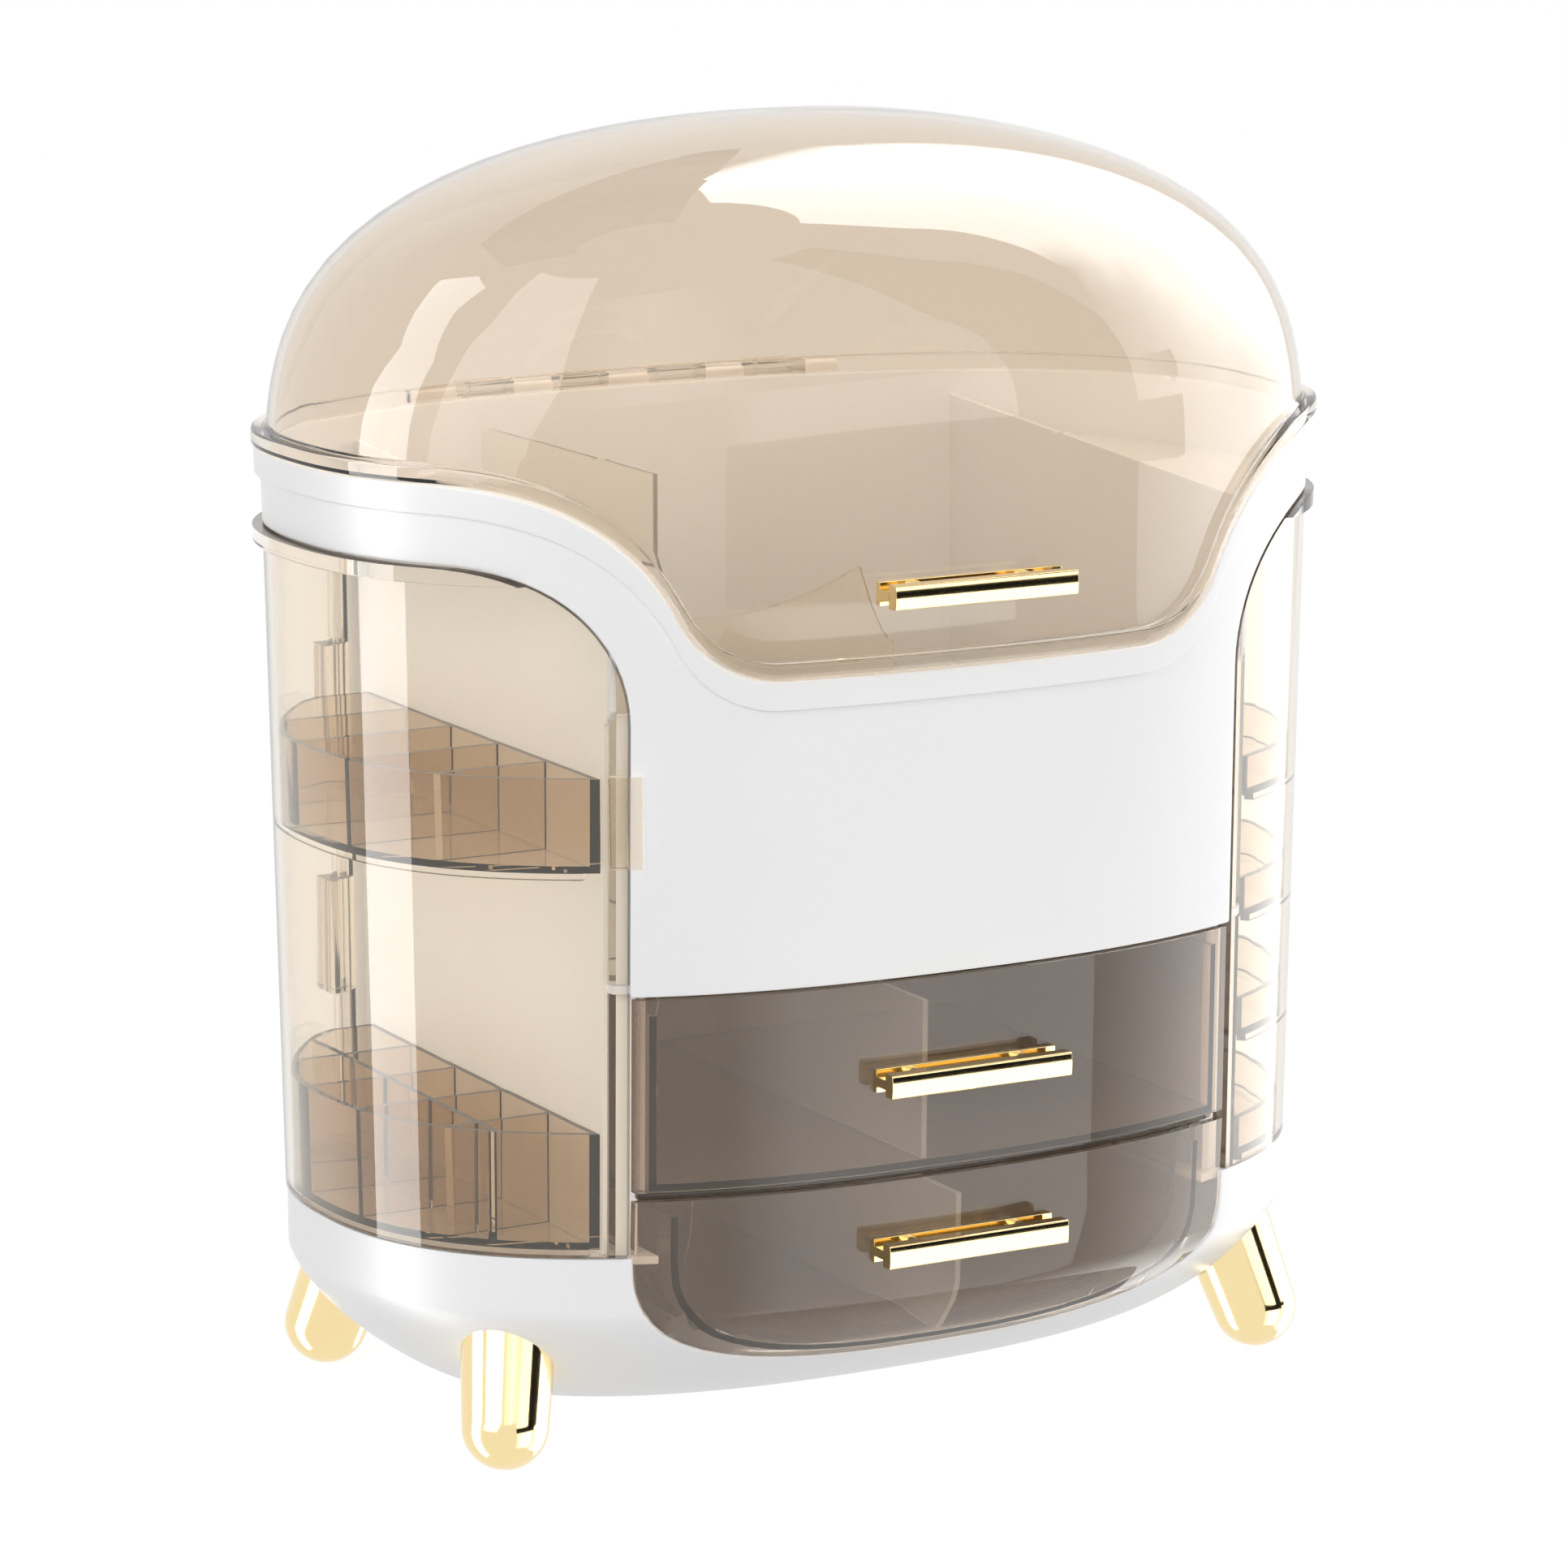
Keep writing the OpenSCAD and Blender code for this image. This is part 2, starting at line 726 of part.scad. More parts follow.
module dome_lid() {
    crown = len(DOME_ANGLES) - 1;
    flange_a = rim_a + flange_proud;
    flange_b = rim_b + flange_proud;
    color(champagne) {
        difference() {
            loft(concat([for (k = [crown:-1:0]) dome_ring(DOME_ANGLES[k], lid_wall)],
                [rim_ring(dome_a - lid_wall, dome_b - lid_wall, 0)],
                [rim_ring(flange_a, flange_b, 0), rim_ring(flange_a, flange_b, flange_h)],
                [rim_ring(dome_a, dome_b, flange_h)],
                [for (u = DOME_ANGLES) dome_ring(u, 0)]));
            screw_holes(lid_handle_z, screw_r + pass_fit);
        }
        lid_knuckles(1, seat_gap, flange_h);
    }
}

// Holes for the two screws of a handle, through the front only
module screw_holes(z, r) {
    for (sx = [-1, 1])
        translate([sx * screw_pitch / 2, 0, z])
            rotate([90, 0, 0])
                cylinder(r = r, h = far);
}

// Front bar, web, base strip and two screw posts, with the base against y = -face
module handle(face, z) {
    bar_y = face + handle_out - bar_t;
    color(gold)
        difference() {
            union() {
                translate([-handle_l / 2, 0, z])
                    rotate([90, 0, 90])
                        linear_extrude(handle_l)
                            handle_profile(face, bar_y);
                for (sx = [-1, 1])
                    translate([sx * screw_pitch / 2, -face + lap, z])
                        rotate([90, 0, 0])
                            cylinder(r = post_r, h = bar_y - face + 2 * lap);
            }
            translate([0, -face, 0])
                screw_pair(z, screw_r + screw_fit / 2, -lap * 2, screw_depth + run_gap);
        }
}

module handle_profile(face, bar_y) {
    translate([-face - handle_base_t, -handle_h / 2])
        square([handle_base_t + lap, handle_h]);
    translate([-bar_y - lap, -web_t / 2])
        square([bar_y - face + 2 * lap, web_t]);
    translate([-bar_y - bar_t + bar_round, -handle_h / 2])
        square([bar_t - bar_round, handle_h]);
    translate([-bar_y - bar_t, -handle_h / 2 + bar_round])
        square([bar_t, handle_h - 2 * bar_round]);
    for (s = [-1, 1])
        translate([-bar_y - bar_t + bar_round, s * (handle_h / 2 - bar_round)])
            circle(bar_round);
}

// Two bars along Y at the screw places, from y0 to y1 in front of the origin
module screw_pair(z, r, y0, y1) {
    for (sx = [-1, 1])
        translate([sx * screw_pitch / 2, -y0, z])
            rotate([90, 0, 0])
                cylinder(r = r, h = y1 - y0);
}

// Screws of one handle: heads behind a front of the given thickness
module handle_screws(face, z, wall) {
    behind = wall + head_gap;
    color(steel)
        translate([0, -face, 0]) {
            screw_pair(z, screw_r, -behind, screw_depth);
            screw_pair(z, screw_head_r, -behind - screw_head_h, -behind);
        }
}

module lid_handle() {
    difference() {
        handle(dome_b, lid_handle_z);
        loft([level(dome_a, dome_b, front_z), level(dome_a, dome_b, rim_z)]);
    }
}

module lid_handle_screws() {
    handle_screws(dome_b, lid_handle_z, lid_wall);
}

module lid_hinge_pin() {
    color(steel)
        lid_pin(pin_r, knuckle_count * knuckle_pitch - knuckle_play);
}

// Full outline of the right door, seen from the front and from the back
module door_zone() {
    elevation(-far, lap)
        door_front(0);
    span([hinge_x + hinge_split, 0, seam_z + door_gap], [far, far, door_top]);
}

// Right door: a thin wall, thicker along its front and back edges, with a bead along its top
// and ledges under the racks at the given heights
module door(levels) {
    under = seam_z - lap;
    over = door_top + 2 * lap;
    intersection() {
        door_zone();
        difference() {
            union() {
                slice(seam_z, door_top + lap);
                slice(door_top - bead_h, door_top + lap, bead_proud, bead_front);
            }
            difference() {
                slice(under, over, -door_wall);
                difference() {
                    span([door_x - lap, -far, 0], [door_x + edge_w, 0, 2 * far]);
                    slice(under - lap, over + lap, -edge_t);
                }
                difference() {
                    span([hinge_x, 0, 0], [hinge_x + hinge_split + back_edge_w, far, 2 * far]);
                    slice(under - lap, over + lap, -back_edge_t);
                }
                difference() {
                    for (z = levels)
                        span([rack_x, -rack_front + rack_notch, z - ledge_h], [far, rack_rear, z]);
                    slice(under - lap, over + lap, -door_wall - ledge_w);
                }
            }
        }
    }
    door_knuckles(1, door_arm);
}

// Finger tab that laps over the front panel
module pull_tab() {
    z0 = high_rack_z + tab_up;
    z1 = z0 + high_rack_h;
    difference() {
        intersection() {
            slice(z0, z1, tab_t);
            span([door_x - tab_reach, -far, z0 - lap], [door_x + edge_w, 0, z1 + lap]);
        }
        slice(z0 - lap, z1 + lap, -lap);
        difference() {
            slice(z0 - lap, z1 + lap, door_gap);
            span([door_x, -far, 0], [far, 0, 2 * far]);
        }
    }
}

// Block that a rack of the right door fills, drawn in by inset
module rack_block(z0, z1, inset) {
    intersection() {
        slice(z0, z1, -door_wall - rack_gap - inset);
        span([rack_x + inset, -rack_front + inset, z0], [far, rack_rear - inset, z1]);
    }
}

// Open rack with cross walls, and a lengthwise wall at long_x if that isn't 0
module rack(z, h, walls, long_x) {
    pitch = (rack_front + rack_rear) / (walls + 1);
    difference() {
        rack_block(z, z + h, 0);
        difference() {
            rack_block(z + rack_wall, z + h + lap, rack_wall);
            if (walls > 0)
                for (i = [1:walls])
                    translate([0, -rack_front + i * pitch - rack_wall / 2, 0])
                        cube([far, rack_wall, far + far]);
            if (long_x > 0)
                span([long_x, -far, 0], [long_x + rack_wall, far, far + far]);
        }
    }
}

module left_door() {
    color(champagne)
        mirror([1, 0, 0]) {
            door([bottom_rack_z, high_rack_z]);
            pull_tab();
        }
}

module right_door() {
    color(champagne)
        door(TRAY_Z);
}

module left_door_pin() {
    color(steel)
        mirror([1, 0, 0])
            door_pin(pin_r);
}

module right_door_pin() {
    color(steel)
        door_pin(pin_r);
}

module left_rack_lower() {
    color(champagne)
        mirror([1, 0, 0])
            rack(bottom_rack_z, low_rack_h, cross_walls, rack_x + long_step);
}

module left_rack_upper() {
    color(champagne)
        mirror([1, 0, 0])
            rack(high_rack_z, high_rack_h, cross_walls, 0);
}

module right_tray(i) {
    color(champagne)
        rack(TRAY_Z[i], tray_h, 0, 0);
}

module upper_box() {
    span([-upper_half, -far, box_z], [upper_half, box_back, upper_top - box_drop]);
}

module upper_room() {
    span([-upper_half + box_wall, -far - lap, box_z + box_wall],
        [upper_half - box_wall, box_back - box_wall, far]);
}

module lower_box() {
    elevation(-far, box_back)
        under_outline(lower_half, lower_box_z, lower_box_top, 0);
}

module lower_room() {
    elevation(-far - lap, box_back - box_wall)
        under_outline(lower_half, lower_box_z, far, -box_wall);
}

// Curved front and the box behind it, hollowed round the walls of the box
module upper_drawer() {
    color(smoke)
        difference() {
            intersection() {
                slice(upper_z, upper_top);
                union() {
                    upper_box();
                    span([-front_half, -far, 0], [front_half, cut_back, far]);
                }
            }
            difference() {
                slice(upper_z - lap, upper_top + lap, -front_t);
                difference() {
                    upper_box();
                    upper_room();
                }
            }
            screw_holes(upper_handle_z, screw_r + pass_fit);
        }
}

// Front that follows the tub, with a rounded box behind it
module lower_drawer() {
    color(smoke)
        difference() {
            intersection() {
                tub_solid(0, lower_top);
                union() {
                    lower_box();
                    elevation(-far, cut_back)
                        under_outline(front_half, lower_front_z, lower_top, 0);
                }
            }
            difference() {
                tub_solid(front_t, lower_top + lap);
                difference() {
                    lower_box();
                    lower_room();
                }
            }
            screw_holes(lower_handle_z, screw_r + pass_fit);
        }
}

module upper_drawer_divider() {
    color(champagne)
        intersection() {
            slice(box_z + box_wall, upper_top - box_drop - divider_drop, -front_t - seat_fit);
            span([upper_divider_x - divider_t / 2, -far, 0],
                [upper_divider_x + divider_t / 2, box_back - box_wall - seat_fit, far]);
        }
}

module lower_drawer_divider() {
    color(champagne)
        intersection() {
            tub_solid(front_t + seat_fit, lower_top);
            span([-divider_t / 2, -far, lower_box_z + box_wall + rest_gap],
                [divider_t / 2, box_back - box_wall - seat_fit, lower_box_top - divider_drop]);
        }
}

module upper_drawer_handle() {
    difference() {
        handle(upper_face, upper_handle_z);
        slice(upper_z, upper_top);
    }
}

module lower_drawer_handle() {
    difference() {
        handle(lower_face, lower_handle_z);
        tub_solid(0, lower_top);
    }
}

module upper_drawer_screws() {
    handle_screws(upper_face, upper_handle_z, front_t);
}

module lower_drawer_screws() {
    handle_screws(lower_face, lower_handle_z, front_t);
}

// Splayed round foot, cut to sit on the curve of the tub
module foot(sx, sy) {
    color(gold)
        difference() {
            on_foot(sx, sy) {
                sphere(foot_r);
                cylinder(r1 = foot_r, r2 = foot_top_r, h = foot_l);
            }
            span([-far, -far, -far], [far, far, 0]);
            tub_solid(0);
            on_foot(sx, sy)
                translate([0, 0, foot_screw_low - lap])
                    cylinder(r = foot_screw_r + screw_fit / 2, h = foot_l);
        }
}

module foot_screws() {
    color(steel)
        each_foot() {
            translate([0, 0, foot_screw_low])
                cylinder(r = foot_screw_r, h = foot_boss - foot_screw_low);
            translate([0, 0, foot_boss])
                cylinder(r = foot_head_r, h = foot_head_h);
        }
}

module case_screws() {
    color(steel)
        for (p = CASE_BOSSES)
            translate([p[0], p[1], case_screw_z]) {
                translate([0, 0, -case_head_h])
                    cylinder(r = case_head_r, h = case_head_h);
                cylinder(r = case_screw_r, h = case_screw_low + case_screw_high);
            }
}

base_tub();
base_deck();
upper_body();
drawer_housing();
top_insert();
dome_lid();
lid_handle();
lid_handle_screws();
lid_hinge_pin();
left_door();
left_door_pin();
left_rack_lower();
left_rack_upper();
right_door();
right_door_pin();
right_tray(0);  // right_tray_bottom
right_tray(1);  // right_tray_lower
right_tray(2);  // right_tray_middle
right_tray(3);  // right_tray_top
upper_drawer();
upper_drawer_divider();
upper_drawer_handle();
upper_drawer_screws();
lower_drawer();
lower_drawer_divider();
lower_drawer_handle();
lower_drawer_screws();
foot(-1, -1);  // foot_front_left
foot(1, -1);  // foot_front_right
foot(-1, 1);  // foot_back_left
foot(1, 1);  // foot_back_right
foot_screws();
case_screws();
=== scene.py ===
import json
import math
import bmesh
import bpy
import numpy as np
from mathutils import Matrix, Vector

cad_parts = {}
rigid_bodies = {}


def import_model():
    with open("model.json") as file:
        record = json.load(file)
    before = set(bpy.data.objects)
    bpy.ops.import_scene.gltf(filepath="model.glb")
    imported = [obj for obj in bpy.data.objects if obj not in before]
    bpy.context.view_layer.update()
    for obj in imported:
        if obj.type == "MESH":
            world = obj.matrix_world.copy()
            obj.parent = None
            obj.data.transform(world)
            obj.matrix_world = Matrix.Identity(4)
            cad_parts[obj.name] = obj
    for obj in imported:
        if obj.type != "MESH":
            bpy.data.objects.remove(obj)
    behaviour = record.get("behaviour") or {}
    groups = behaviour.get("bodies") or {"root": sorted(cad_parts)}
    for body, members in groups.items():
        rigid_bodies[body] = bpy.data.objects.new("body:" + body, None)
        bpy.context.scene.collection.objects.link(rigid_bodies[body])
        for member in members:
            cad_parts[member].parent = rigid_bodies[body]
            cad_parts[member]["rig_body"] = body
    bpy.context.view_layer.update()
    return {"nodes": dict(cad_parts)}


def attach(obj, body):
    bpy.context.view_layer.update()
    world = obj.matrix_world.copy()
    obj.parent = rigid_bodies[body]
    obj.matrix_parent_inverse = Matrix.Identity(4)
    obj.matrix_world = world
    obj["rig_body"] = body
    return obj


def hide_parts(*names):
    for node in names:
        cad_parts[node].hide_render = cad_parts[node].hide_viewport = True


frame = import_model()

# Base tub: the white lower shell of glossy moulded ABS, a thin wall that curves in underneath,
# with a notch in front for the lower drawer. The upper body and the side doors stand on its rim.
MM = 0.001              # lengths below are in millimetres, angles in degrees
SEAM_Z = 64             # joint between the tub and the upper body
HALF_W = 158            # half of the case's width and depth at the seam
HALF_D = 101.5
RIM_Z = 286.5           # rim of the upper body at the sides and the back
LEAN = 4.2              # how much wider each side is at the rim than at the seam
OVAL_N = 2.41           # power of the oval plan
SHELL = 2.6
TUB_Z = 9               # lowest place of the tub
TURN_Z = 47             # height at which the tub begins to curve in
TUCK = 47               # how far it curves in
TUB_BEND = 1.42         # power of that curve
TUB_STEP = 0.5          # the tub lies this much inside the upper body
TUB_WALL = 2.5
TUB_EDGE = 0.7
CURVE_L = 66            # length of the curve on the flat sheet
FRONT_HALF = 99.2       # half of the drawer fronts' width
LOWER_FRONT_Z = 25.2
UNDER_TURN_Z = 62       # height at which the lower front begins to round off
UNDER_N = 2.7           # power of that rounding
UNDER_STEP = 3
NOTCH_GAP = 0.6
TURN_STEP = 0.25        # step in which the oval is measured
SHEET_STEP = 3          # width of the strips in which a flat sheet bends
EDGE = 0.3              # usual width of an eased edge
SHARP = 34              # angle from which an edge counts as sharp
NEAR = 0.001            # distance at which a place lies on a plane
WELD = 0.002            # distance at which the ends of a bent sheet are joined
CUT = 0.01              # distance at which a cut takes a corner that is there


def power(value, exponent):
    return math.copysign(abs(value) ** exponent, value)


def spread(z):
    """How much larger the leaning case is at a height than at the seam."""
    return 1 + LEAN / HALF_W * (z - SEAM_Z) / (RIM_Z - SEAM_Z)


def oval(turn, half_x, half_y):
    """Point of the oval plan at a turn in degrees from +X towards +Y."""
    angle = math.radians(turn)
    return half_x * power(math.cos(angle), 2 / OVAL_N), half_y * power(math.sin(angle), 2 / OVAL_N)


# Length along the seam from the middle of the back, round the left side, the front and the right side
TURNS = np.linspace(90, 450, round(360 / TURN_STEP) + 1)
SEAM = np.array([oval(turn, HALF_W, HALF_D) for turn in TURNS])
ARCS = np.concatenate([[0], np.cumsum(np.hypot(*np.diff(SEAM, axis=0).T))])
ROUND = ARCS[-1]


def turn_of(arc):
    return float(np.interp(arc, ARCS, TURNS))


def arc_of(x, half_x, front=True):
    """Length along the seam to the plan point with this x, on the front or on the back."""
    angle = math.degrees(math.acos(power(x / half_x, OVAL_N / 2)))
    turn = 360 - angle if front else angle + (360 if x > 0 else 0)
    return float(np.interp(turn, TURNS, ARCS))


def case_arc(x, z, front=True):
    return arc_of(x, HALF_W * spread(z), front)


def case_point(arc, depth, z):
    """Place on the leaning case wall, pushed out by depth."""
    x, y = oval(turn_of(arc), HALF_W * spread(z) + depth, HALF_D * spread(z) + depth)
    return Vector((x, y, z))


def tub_tuck(fall):
    """How far the tub has curved in, and its height, at a length down its wall from the seam."""
    straight = SEAM_Z - TURN_Z
    if fall <= straight:
        return TUB_STEP, SEAM_Z - fall
    angle = math.radians(90 * min(1, (fall - straight) / CURVE_L))
    inward = TUB_STEP + TUCK * (1 - power(math.cos(angle), 2 / TUB_BEND))
    return inward, TURN_Z - (TURN_Z - TUB_Z) * math.sin(angle) ** (2 / TUB_BEND)


def tub_point(arc, depth, fall):
    inward, z = tub_tuck(fall)
    lift = -depth * (TURN_Z - z) / (TURN_Z - TUB_Z) if z < TURN_Z else 0
    x, y = oval(turn_of(arc), HALF_W - inward + depth, HALF_D - inward + depth)
    return Vector((x, y, z + lift))


def fall_of(z):
    """Length down the tub's wall at a height."""
    if z >= TURN_Z:
        return SEAM_Z - z
    sine = ((TURN_Z - z) / (TURN_Z - TUB_Z)) ** (TUB_BEND / 2)
    return SEAM_Z - TURN_Z + CURVE_L * math.degrees(math.asin(min(1, sine))) / 90


def bend(bm, place, seam=False):
    """Moves a flat sheet, drawn as length, height and depth, to where place says."""
    for v in bm.verts:
        v.co = place(v.co.x, v.co.z, v.co.y)
    if seam:
        bmesh.ops.remove_doubles(bm, verts=bm.verts, dist=WELD)


def sharp_edges(bm, degrees=SHARP):
    return [e for e in bm.edges if e.is_manifold and e.calc_face_angle() > math.radians(degrees)]


def ease(bm, edges, width, segments=2):
    bmesh.ops.bevel(bm, geom=edges, offset=width, offset_type="OFFSET", affect="EDGES",
                    segments=segments, profile=0.5, material=-1, clamp_overlap=True)


def plate(outline, low, high, edge=EDGE, open_at=()):
    """Plate cut from an outline in X and Y, between two heights, with eased edges.

    It is left open at the planes in open_at, each an axis and a place on it.
    """
    bm = bmesh.new()
    face = bm.faces.new([bm.verts.new((x, y, low)) for x, y in outline])
    made = bmesh.ops.extrude_face_region(bm, geom=[face])
    top = [g for g in made["geom"] if isinstance(g, bmesh.types.BMVert)]
    bmesh.ops.translate(bm, vec=(0, 0, high - low), verts=top)
    bmesh.ops.recalc_face_normals(bm, faces=bm.faces)
    for axis, at in open_at:
        ends = [f for f in bm.faces if all(abs(v.co[axis] - at) < NEAR for v in f.verts)]
        bmesh.ops.delete(bm, geom=ends, context="FACES")
    if edge:
        ease(bm, sharp_edges(bm), edge)
    return bm


def slice_up(bm, axis, step, low, high):
    """Cuts a flat sheet across one axis at an even step, so that it can bend."""
    along = Vector((axis == 0, axis == 1, axis == 2))
    for k in range(math.ceil(low / step), math.floor(high / step) + 1):
        everything = bm.verts[:] + bm.edges[:] + bm.faces[:]
        bmesh.ops.bisect_plane(bm, geom=everything, dist=CUT, plane_co=along * k * step, plane_no=along)


def join(bm, other):
    """Adds a second mesh to the first and frees it."""
    loose = bpy.data.meshes.new("loose")
    other.to_mesh(loose)
    other.free()
    bm.from_mesh(loose)
    bpy.data.meshes.remove(loose)
    return bm


def finish(bm, name, body, surface, stands_for=()):
    """Turns millimetres into metres, and makes the mesh a piece that rides on its body."""
    bmesh.ops.scale(bm, vec=(MM, MM, MM), verts=bm.verts)
    for face in bm.faces:
        face.smooth = True
    for edge in bm.edges:
        edge.smooth = not edge.is_manifold or edge.calc_face_angle() < math.radians(SHARP)
    mesh = bpy.data.meshes.new(name)
    bm.to_mesh(mesh)
    bm.free()
    mesh.materials.append(surface)
    piece = bpy.data.objects.new(name, mesh)
    bpy.context.scene.collection.objects.link(piece)
    even = piece.modifiers.new("even", "WEIGHTED_NORMAL")
    even.keep_sharp = True
    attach(piece, body)
    if stands_for:
        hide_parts(*stands_for)


class Wire:
    """A socket of a material's nodes, on which + and * add Math nodes."""

    def __init__(self, tree, socket=None):
        self.tree = tree
        self.socket = socket

    def node(self, kind, settings=None, links=None, out=0):
        made = self.tree.nodes.new("ShaderNode" + kind)
        for name, value in (settings or {}).items():
            setattr(made, name, value)
        for name, value in (links or {}).items():
            if isinstance(value, Wire):
                self.tree.links.new(value.socket, made.inputs[name])
            else:
                made.inputs[name].default_value = value
        return Wire(self.tree, made.outputs[out] if made.outputs else None)

    def blend(self, share, first, second):
        """Mixes two colours by a share from 0 to 1."""
        return self.node("Mix", {"data_type": "RGBA"}, {0: share, 6: first, 7: second}, out=2)

    def maths(self, operation, *values):
        return self.node("Math", {"operation": operation}, dict(enumerate(values)))

    def __add__(self, other):
        return self.maths("ADD", self, other)

    __radd__ = __add__

    def __mul__(self, other):
        return self.maths("MULTIPLY", self, other)

    __rmul__ = __mul__


def start_material(name):
    material = bpy.data.materials.new(name)
    material.use_nodes = True
    material.node_tree.nodes.clear()
    return material, Wire(material.node_tree)


def noise(start, scale, detail=2.0, stretch=(1, 1, 1)):
    """Noise in metres on the piece, from 0 to 1."""
    place = start.node("TexCoord", out="Object")
    place = start.node("Mapping", {}, {"Vector": place, "Scale": stretch})
    return start.node("TexNoise", {}, {"Vector": place, "Scale": scale, "Detail": detail})


def white_plastic():
    """Glossy moulded ABS: even white, a soft unevenness in the gloss and a faint moulding ripple."""
    material, start = start_material("white_abs")
    cloud = noise(start, 18)
    ripple = noise(start, 160, 1.0)
    colour = start.blend(cloud, (0.86, 0.86, 0.865, 1), (0.89, 0.89, 0.89, 1))
    bump = start.node("Bump", {}, {"Strength": 0.03, "Distance": 0.0004, "Height": ripple})
    shader = start.node("BsdfPrincipled", {}, {"Base Color": colour, "Normal": bump, "IOR": 1.5,
                                               "Roughness": 0.3 + 0.12 * cloud})
    start.node("OutputMaterial", {}, {"Surface": shader})
    return material


WHITE = white_plastic()


def notch_curve():
    """Notch for the lower drawer's rounded front, from the right to the left, on the tub's wall."""
    points = []
    for turn in range(0, 181, UNDER_STEP):
        angle = math.radians(turn)
        x = (FRONT_HALF + NOTCH_GAP) * power(math.cos(angle), 2 / UNDER_N)
        drop = (UNDER_TURN_Z - LOWER_FRONT_Z + NOTCH_GAP) * abs(math.sin(angle)) ** (2 / UNDER_N)
        fall = fall_of(UNDER_TURN_Z - drop)
        points.append((arc_of(x, HALF_W - tub_tuck(fall)[0]), -fall))
    return points


tub_end = SEAM_Z - TURN_Z + CURVE_L
notch_arc = arc_of(-FRONT_HALF - NOTCH_GAP, HALF_W - TUB_STEP)
tub_left = [(notch_arc, 0), (0, 0)]
tub_right = [(0, -tub_end), (ROUND, -tub_end), (ROUND, 0), (ROUND - notch_arc, 0)]
tub = plate(tub_right + notch_curve() + tub_left, -TUB_WALL, 0, TUB_EDGE,
            [(0, 0), (0, ROUND), (1, -tub_end)])
slice_up(tub, 0, SHEET_STEP, 0, ROUND)
slice_up(tub, 1, SHEET_STEP, -tub_end, 0)
bend(tub, lambda arc, depth, height: tub_point(arc, depth, -height), seam=True)
bmesh.ops.holes_fill(tub, edges=[e for e in tub.edges if e.is_boundary], sides=0)
finish(tub, "base_tub_shell", "case", WHITE, ["base_tub"])

# Feet: four splayed round feet, plated bright gold and each held by one screw from inside the tub.
# A foot ends in a ball with a small flat spot, and its top follows the curve of the tub.
FOOT_X = 128.5
FOOT_Y = 61
FOOT_R = 12.7
FOOT_TOP_R = 14.6
FOOT_FLAT_R = 4
FOOT_L = 38
FOOT_SPLAY = 23         # how far a foot leans out
FOOT_TURN = 57          # where it leans to, from the side towards the front or the back
FOOT_SIDES = 96
FOOT_TRIES = 20         # places in each millimetre at which its top is looked for
BALL_STEP = 5


def gold_plating():
    """Bright gold plating with faint polishing marks."""
    material, start = start_material("gold_plating")
    haze = noise(start, 40, 3.0)
    marks = noise(start, 900, 1.0, (1, 1, 0.15))
    colour = start.blend(haze, (0.90, 0.71, 0.36, 1), (0.94, 0.77, 0.44, 1))
    bump = start.node("Bump", {}, {"Strength": 0.02, "Distance": 0.0002, "Height": marks})
    shader = start.node("BsdfPrincipled", {}, {"Base Color": colour, "Metallic": 1.0,
                                               "Roughness": 0.06 + 0.06 * haze, "Normal": bump})
    start.node("OutputMaterial", {}, {"Surface": shader})
    return material


GOLD = gold_plating()


def outside_tub(point):
    """Whether a point lies outside the tub's curved skin."""
    if point.z < TUB_Z:
        return True
    inward = tub_tuck(fall_of(point.z))[0]
    return abs(point.x / (HALF_W - inward)) ** OVAL_N + abs(point.y / (HALF_D - inward)) ** OVAL_N > 1


def close_round(bm, columns):
    """Joins columns of points that stand in a ring by faces."""
    for one, other in zip(columns, columns[1:] + columns[:1]):
        for k in range(len(one) - 1):
            bm.faces.new((one[k], other[k], other[k + 1], one[k + 1]))


def foot(name, side, end):
    """Foot at a side and an end of the case, each -1 or 1. It is built upright and then leaned out."""
    low = math.sqrt(FOOT_R ** 2 - FOOT_FLAT_R ** 2)
    turn = math.radians(FOOT_TURN)
    place = (Matrix.Translation((side * FOOT_X, end * FOOT_Y, low))
             @ Matrix.Rotation(math.atan2(end * math.sin(turn), side * math.cos(turn)), 4, "Z")
             @ Matrix.Rotation(-math.radians(FOOT_SPLAY), 4, "Y"))

    def at(around, radius, up):
        """Place at an angle round the foot's own axis, a distance from it and a height along it."""
        return place @ Vector((radius * math.cos(around), radius * math.sin(around), up))

    def wall(around, up):
        return at(around, FOOT_R + (FOOT_TOP_R - FOOT_R) * up / FOOT_L, up)

    bm = bmesh.new()
    columns = []
    for k in range(FOOT_SIDES):
        around = math.tau * k / FOOT_SIDES
        tries = [n / FOOT_TRIES for n in range(FOOT_TRIES * FOOT_L)]
        reach = next(up for up in tries if not outside_tub(wall(around, up)))
        latitudes = [math.radians(a) for a in range(-90 + BALL_STEP, 1, BALL_STEP)]
        line = [at(around, FOOT_R * math.cos(a), FOOT_R * math.sin(a)) for a in latitudes]
        line += [wall(around, reach * n / 4) for n in (1, 2, 3, 4)]
        columns.append([bm.verts.new(point) for point in line])
    close_round(bm, columns)
    bm.faces.new([column[0] for column in reversed(columns)])
    cut = bmesh.ops.bisect_plane(bm, geom=bm.verts[:] + bm.edges[:] + bm.faces[:], dist=NEAR,
                                 plane_co=(0, 0, 0), plane_no=(0, 0, -1), clear_outer=True)
    sole = [g for g in cut["geom_cut"] if isinstance(g, bmesh.types.BMEdge)]
    bmesh.ops.holes_fill(bm, edges=sole, sides=0)
    bmesh.ops.recalc_face_normals(bm, faces=bm.faces)
    finish(bm, name + "_body", "case", GOLD, [name])


